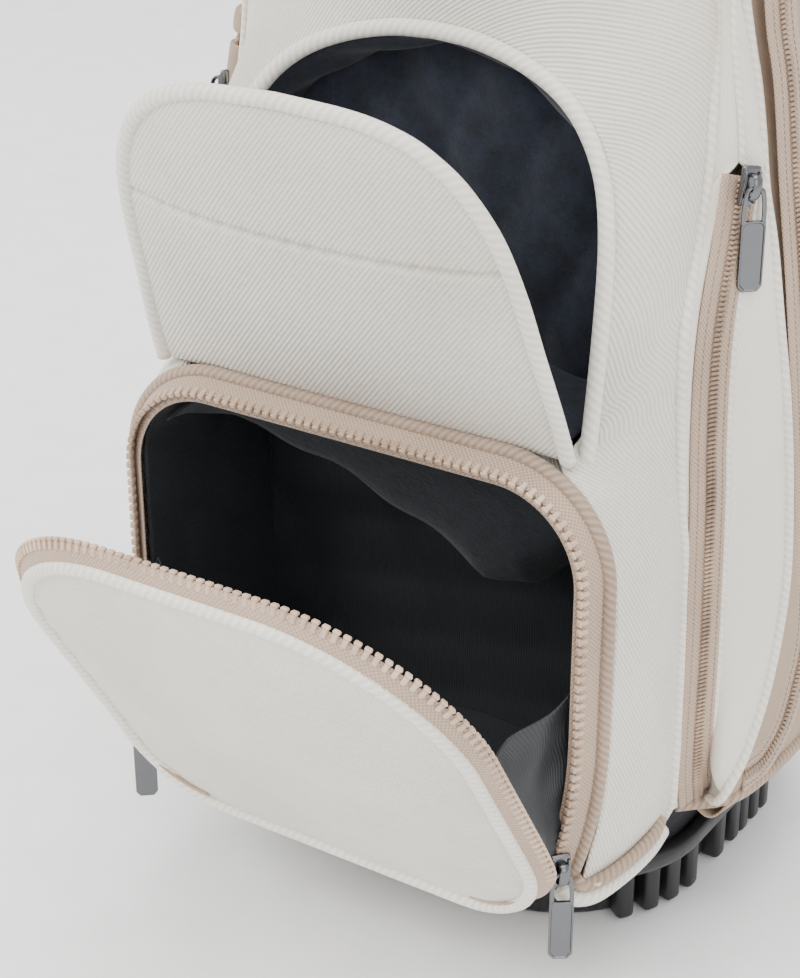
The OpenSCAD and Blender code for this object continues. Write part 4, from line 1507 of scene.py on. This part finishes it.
@dataclass
class Upper:
    """The tube above the pockets, its back, the upper pocket and the top."""

    def tube(self) -> Thing:
        """The body tube's cloth, from the base to the collar."""
        ring = Base.ring(105.4, 80.4, 60, 201)

        def rule(s: np.ndarray, t: np.ndarray) -> tuple[np.ndarray, np.ndarray]:
            i, z = steps(s, 200), 44 + 798 * t
            puff = 1.0 + 0.008 * np.sin(z * 0.03 + i * 0.05) * np.sin(math.pi * t)
            return np.column_stack([ring[i] * puff[:, None] + (0, 18), z]), np.stack([s * 520, z], 1)

        return patch("tube_skin", (200, 90), rule)

    @staticmethod
    def pad(
        name: str, key: str, outline: Points, cells: tuple[int, int], faces: tuple, back_y: float, node: str
    ) -> None:
        """A pad that lies on the tube's front, where back_y is below 0, or on its back.

        Args:
            name: Piece name.
            key: Key of its finish.
            outline: Arched outline, (x, z).
            cells: Cells across one face and up.
            faces: Rules of its outer and inner face.
            back_y: Where its inner face lies.
            node: CAD node that it stands for.
        """
        sense = 1 if back_y > 0 else -1
        pad = pillow(name, outline, cells, *faces, lambda x, d, z: np.stack([-sense * x, back_y + sense * d, z], 1))
        dress(pad, key, node)

    def build(self) -> None:
        """Build and dress the upper body."""
        dress(wall(self.tube(), 1.4), "twill", "body_tube")
        for side in Side:
            self.shoulder(side)
        faces = (lambda u, z: 22 + 14 * np.clip(1 - u * u, 0, 1), flat_face(0.2))
        self.pad("upper_pocket_cloth", "twill", arch(95, 482, 782, 30, 18), (30, 44), faces, -63.0, "upper_pocket")
        x = np.linspace(70, -70, 60)
        line = np.stack([x, -100.4 + 12 * (x / 70) ** 2, np.full(60, 754.0)], 1)
        dress(sweep("upper_zip_tape", line, (0, -1, 0), flat_profile(22)), "tape", "upper_zip")
        coil_chain("upper_zip_coil", line - (0, 0.9, 0), (0, -1, 0))
        faces = (lambda u, z: 6.0 + 7 * np.abs(np.sin((z - 90) * math.pi / 138)) ** 0.5, flat_face(0.2))
        self.pad("back_pad_cloth", "twill", arch(65, 90, 780, 30, 30), (24, 90), faces, 99.6, "back_pad")
        faces = (flat_face(5.5), flat_face(5.5))
        self.pad("strap_padding", "strap_mesh", arch(30, 430, 730, 20, 20), (16, 60), faces, 121.0, "shoulder_strap")
        for k, (z0, z1) in enumerate(((330, 436), (724, 762))):
            web = np.stack([np.zeros(30), np.full(30, 118.2), np.linspace(z0, z1, 30)], 1)
            dress(sweep(f"strap_web_{k}", web, (0, 1, 0), flat_profile(38, 2.4)), "mesh_band", slot="strap_fabric")
        dress_nodes(top_collar="collar", divider_frame="collar", divider_sleeves="lining", lift_handle="collar")

    @staticmethod
    def shoulder(side: Side) -> None:
        """Side cloth above the pod, up to the collar, in two widths that meet at mid."""
        tag, flip = side.name.lower(), side is Side.LEFT
        fore = [(107, -58, 458), (107, -56, 520), (106.5, -54, 600), (106, -50, 700), (105.5, -46, 840)]
        mid = [(117, 20, 456), (116.5, 20, 520), (116, 20, 600), (113, 20, 680), (108, 20, 840)]
        aft = [(98, 100, 438), (98, 99, 520), (97, 98, 600), (96, 97, 700), (95, 96, 840)]
        for name, a, b, low in (("front", fore, mid, 1.8), ("back", mid, aft, 9.2)):

            def bulge(s: np.ndarray, t: np.ndarray, low: float = low) -> np.ndarray:
                return (5 + (low - 5) * np.clip(1 - t * 3, 0, 1)) * np.sin(math.pi * s)

            one, two = mirrored(spline(a, 61), side), mirrored(spline(b, 61), side)
            dress(wall(span(f"upper_side_{name}_{tag}", one, two, 16, bulge, flip)), "tan_cloth")


@dataclass
class Studio:
    """Pale floor, soft lights, world and the camera, in metres."""

    # Each light: place, size and power in watts.
    lights = {
        "key": ((-1.6, -2.2, 2.6), 1.6, 92),
        "fill": ((2.4, -1.6, 1.6), 2.2, 30),
        "top": ((0.2, 0.2, 3.0), 2.6, 84),
    }
    aim: Triple = (0.0, 0.0, 0.25)
    sky: float = 1.3
    eye: Triple = (0.4614, -0.8090, 0.6117)
    lens: float = 98.1
    shift: tuple[float, float] = (-0.0159, 0.0262)
    # The camera's right, up and back directions.
    axes: tuple[Triple, Triple, Triple] = (
        (0.8369, 0.5474, 0),
        (-0.2434, 0.3721, 0.8957),
        (0.4904, -0.7496, 0.4446),
    )

    @staticmethod
    def link(name: str, data: bpy.types.ID) -> Thing:
        """Put a light or camera in the scene."""
        ob = bpy.data.objects.new(name, data)
        bpy.context.collection.objects.link(ob)
        return ob

    def build(self) -> None:
        """Set the stage."""
        deselect()
        bpy.ops.mesh.primitive_plane_add(size=14)
        floor = bpy.context.object
        floor.name = "studio_floor"
        wear(floor, "studio")
        world = bpy.data.worlds.new("studio_world")
        bpy.context.scene.world = world
        world.use_nodes = True
        sky = world.node_tree.nodes["Background"].inputs
        sky["Color"].default_value, sky["Strength"].default_value = (1, 1, 1, 1), self.sky
        for name, (at, size, power) in self.lights.items():
            data = bpy.data.lights.new(name, "AREA")
            data.size, data.energy = size, power
            lamp = self.link(name, data)
            lamp.location = at
            lamp.rotation_euler = (Vector(self.aim) - Vector(at)).to_track_quat("-Z", "Y").to_euler()
        data = bpy.data.cameras.new("front_camera")
        data.sensor_fit, data.sensor_width, data.lens = "HORIZONTAL", 36, self.lens
        data.shift_x, data.shift_y = self.shift
        camera = self.link("front_camera", data)
        camera.matrix_world = Matrix.Translation(self.eye) @ Matrix(self.axes).transposed().to_4x4()
        bpy.context.scene.camera = camera


def main() -> None:
    """Build every assembly in order."""
    logging.basicConfig(level=logging.INFO, format="%(message)s")
    pockets = [SidePocket(side) for side in Side]
    shell = (Base(), Column(), Cooler(), Door(), Flap(), Valuables())
    for assembly in (Studio(), *shell, *pockets, Hardware(), Upper()):
        assembly.build()


if __name__ == "__main__":
    main()
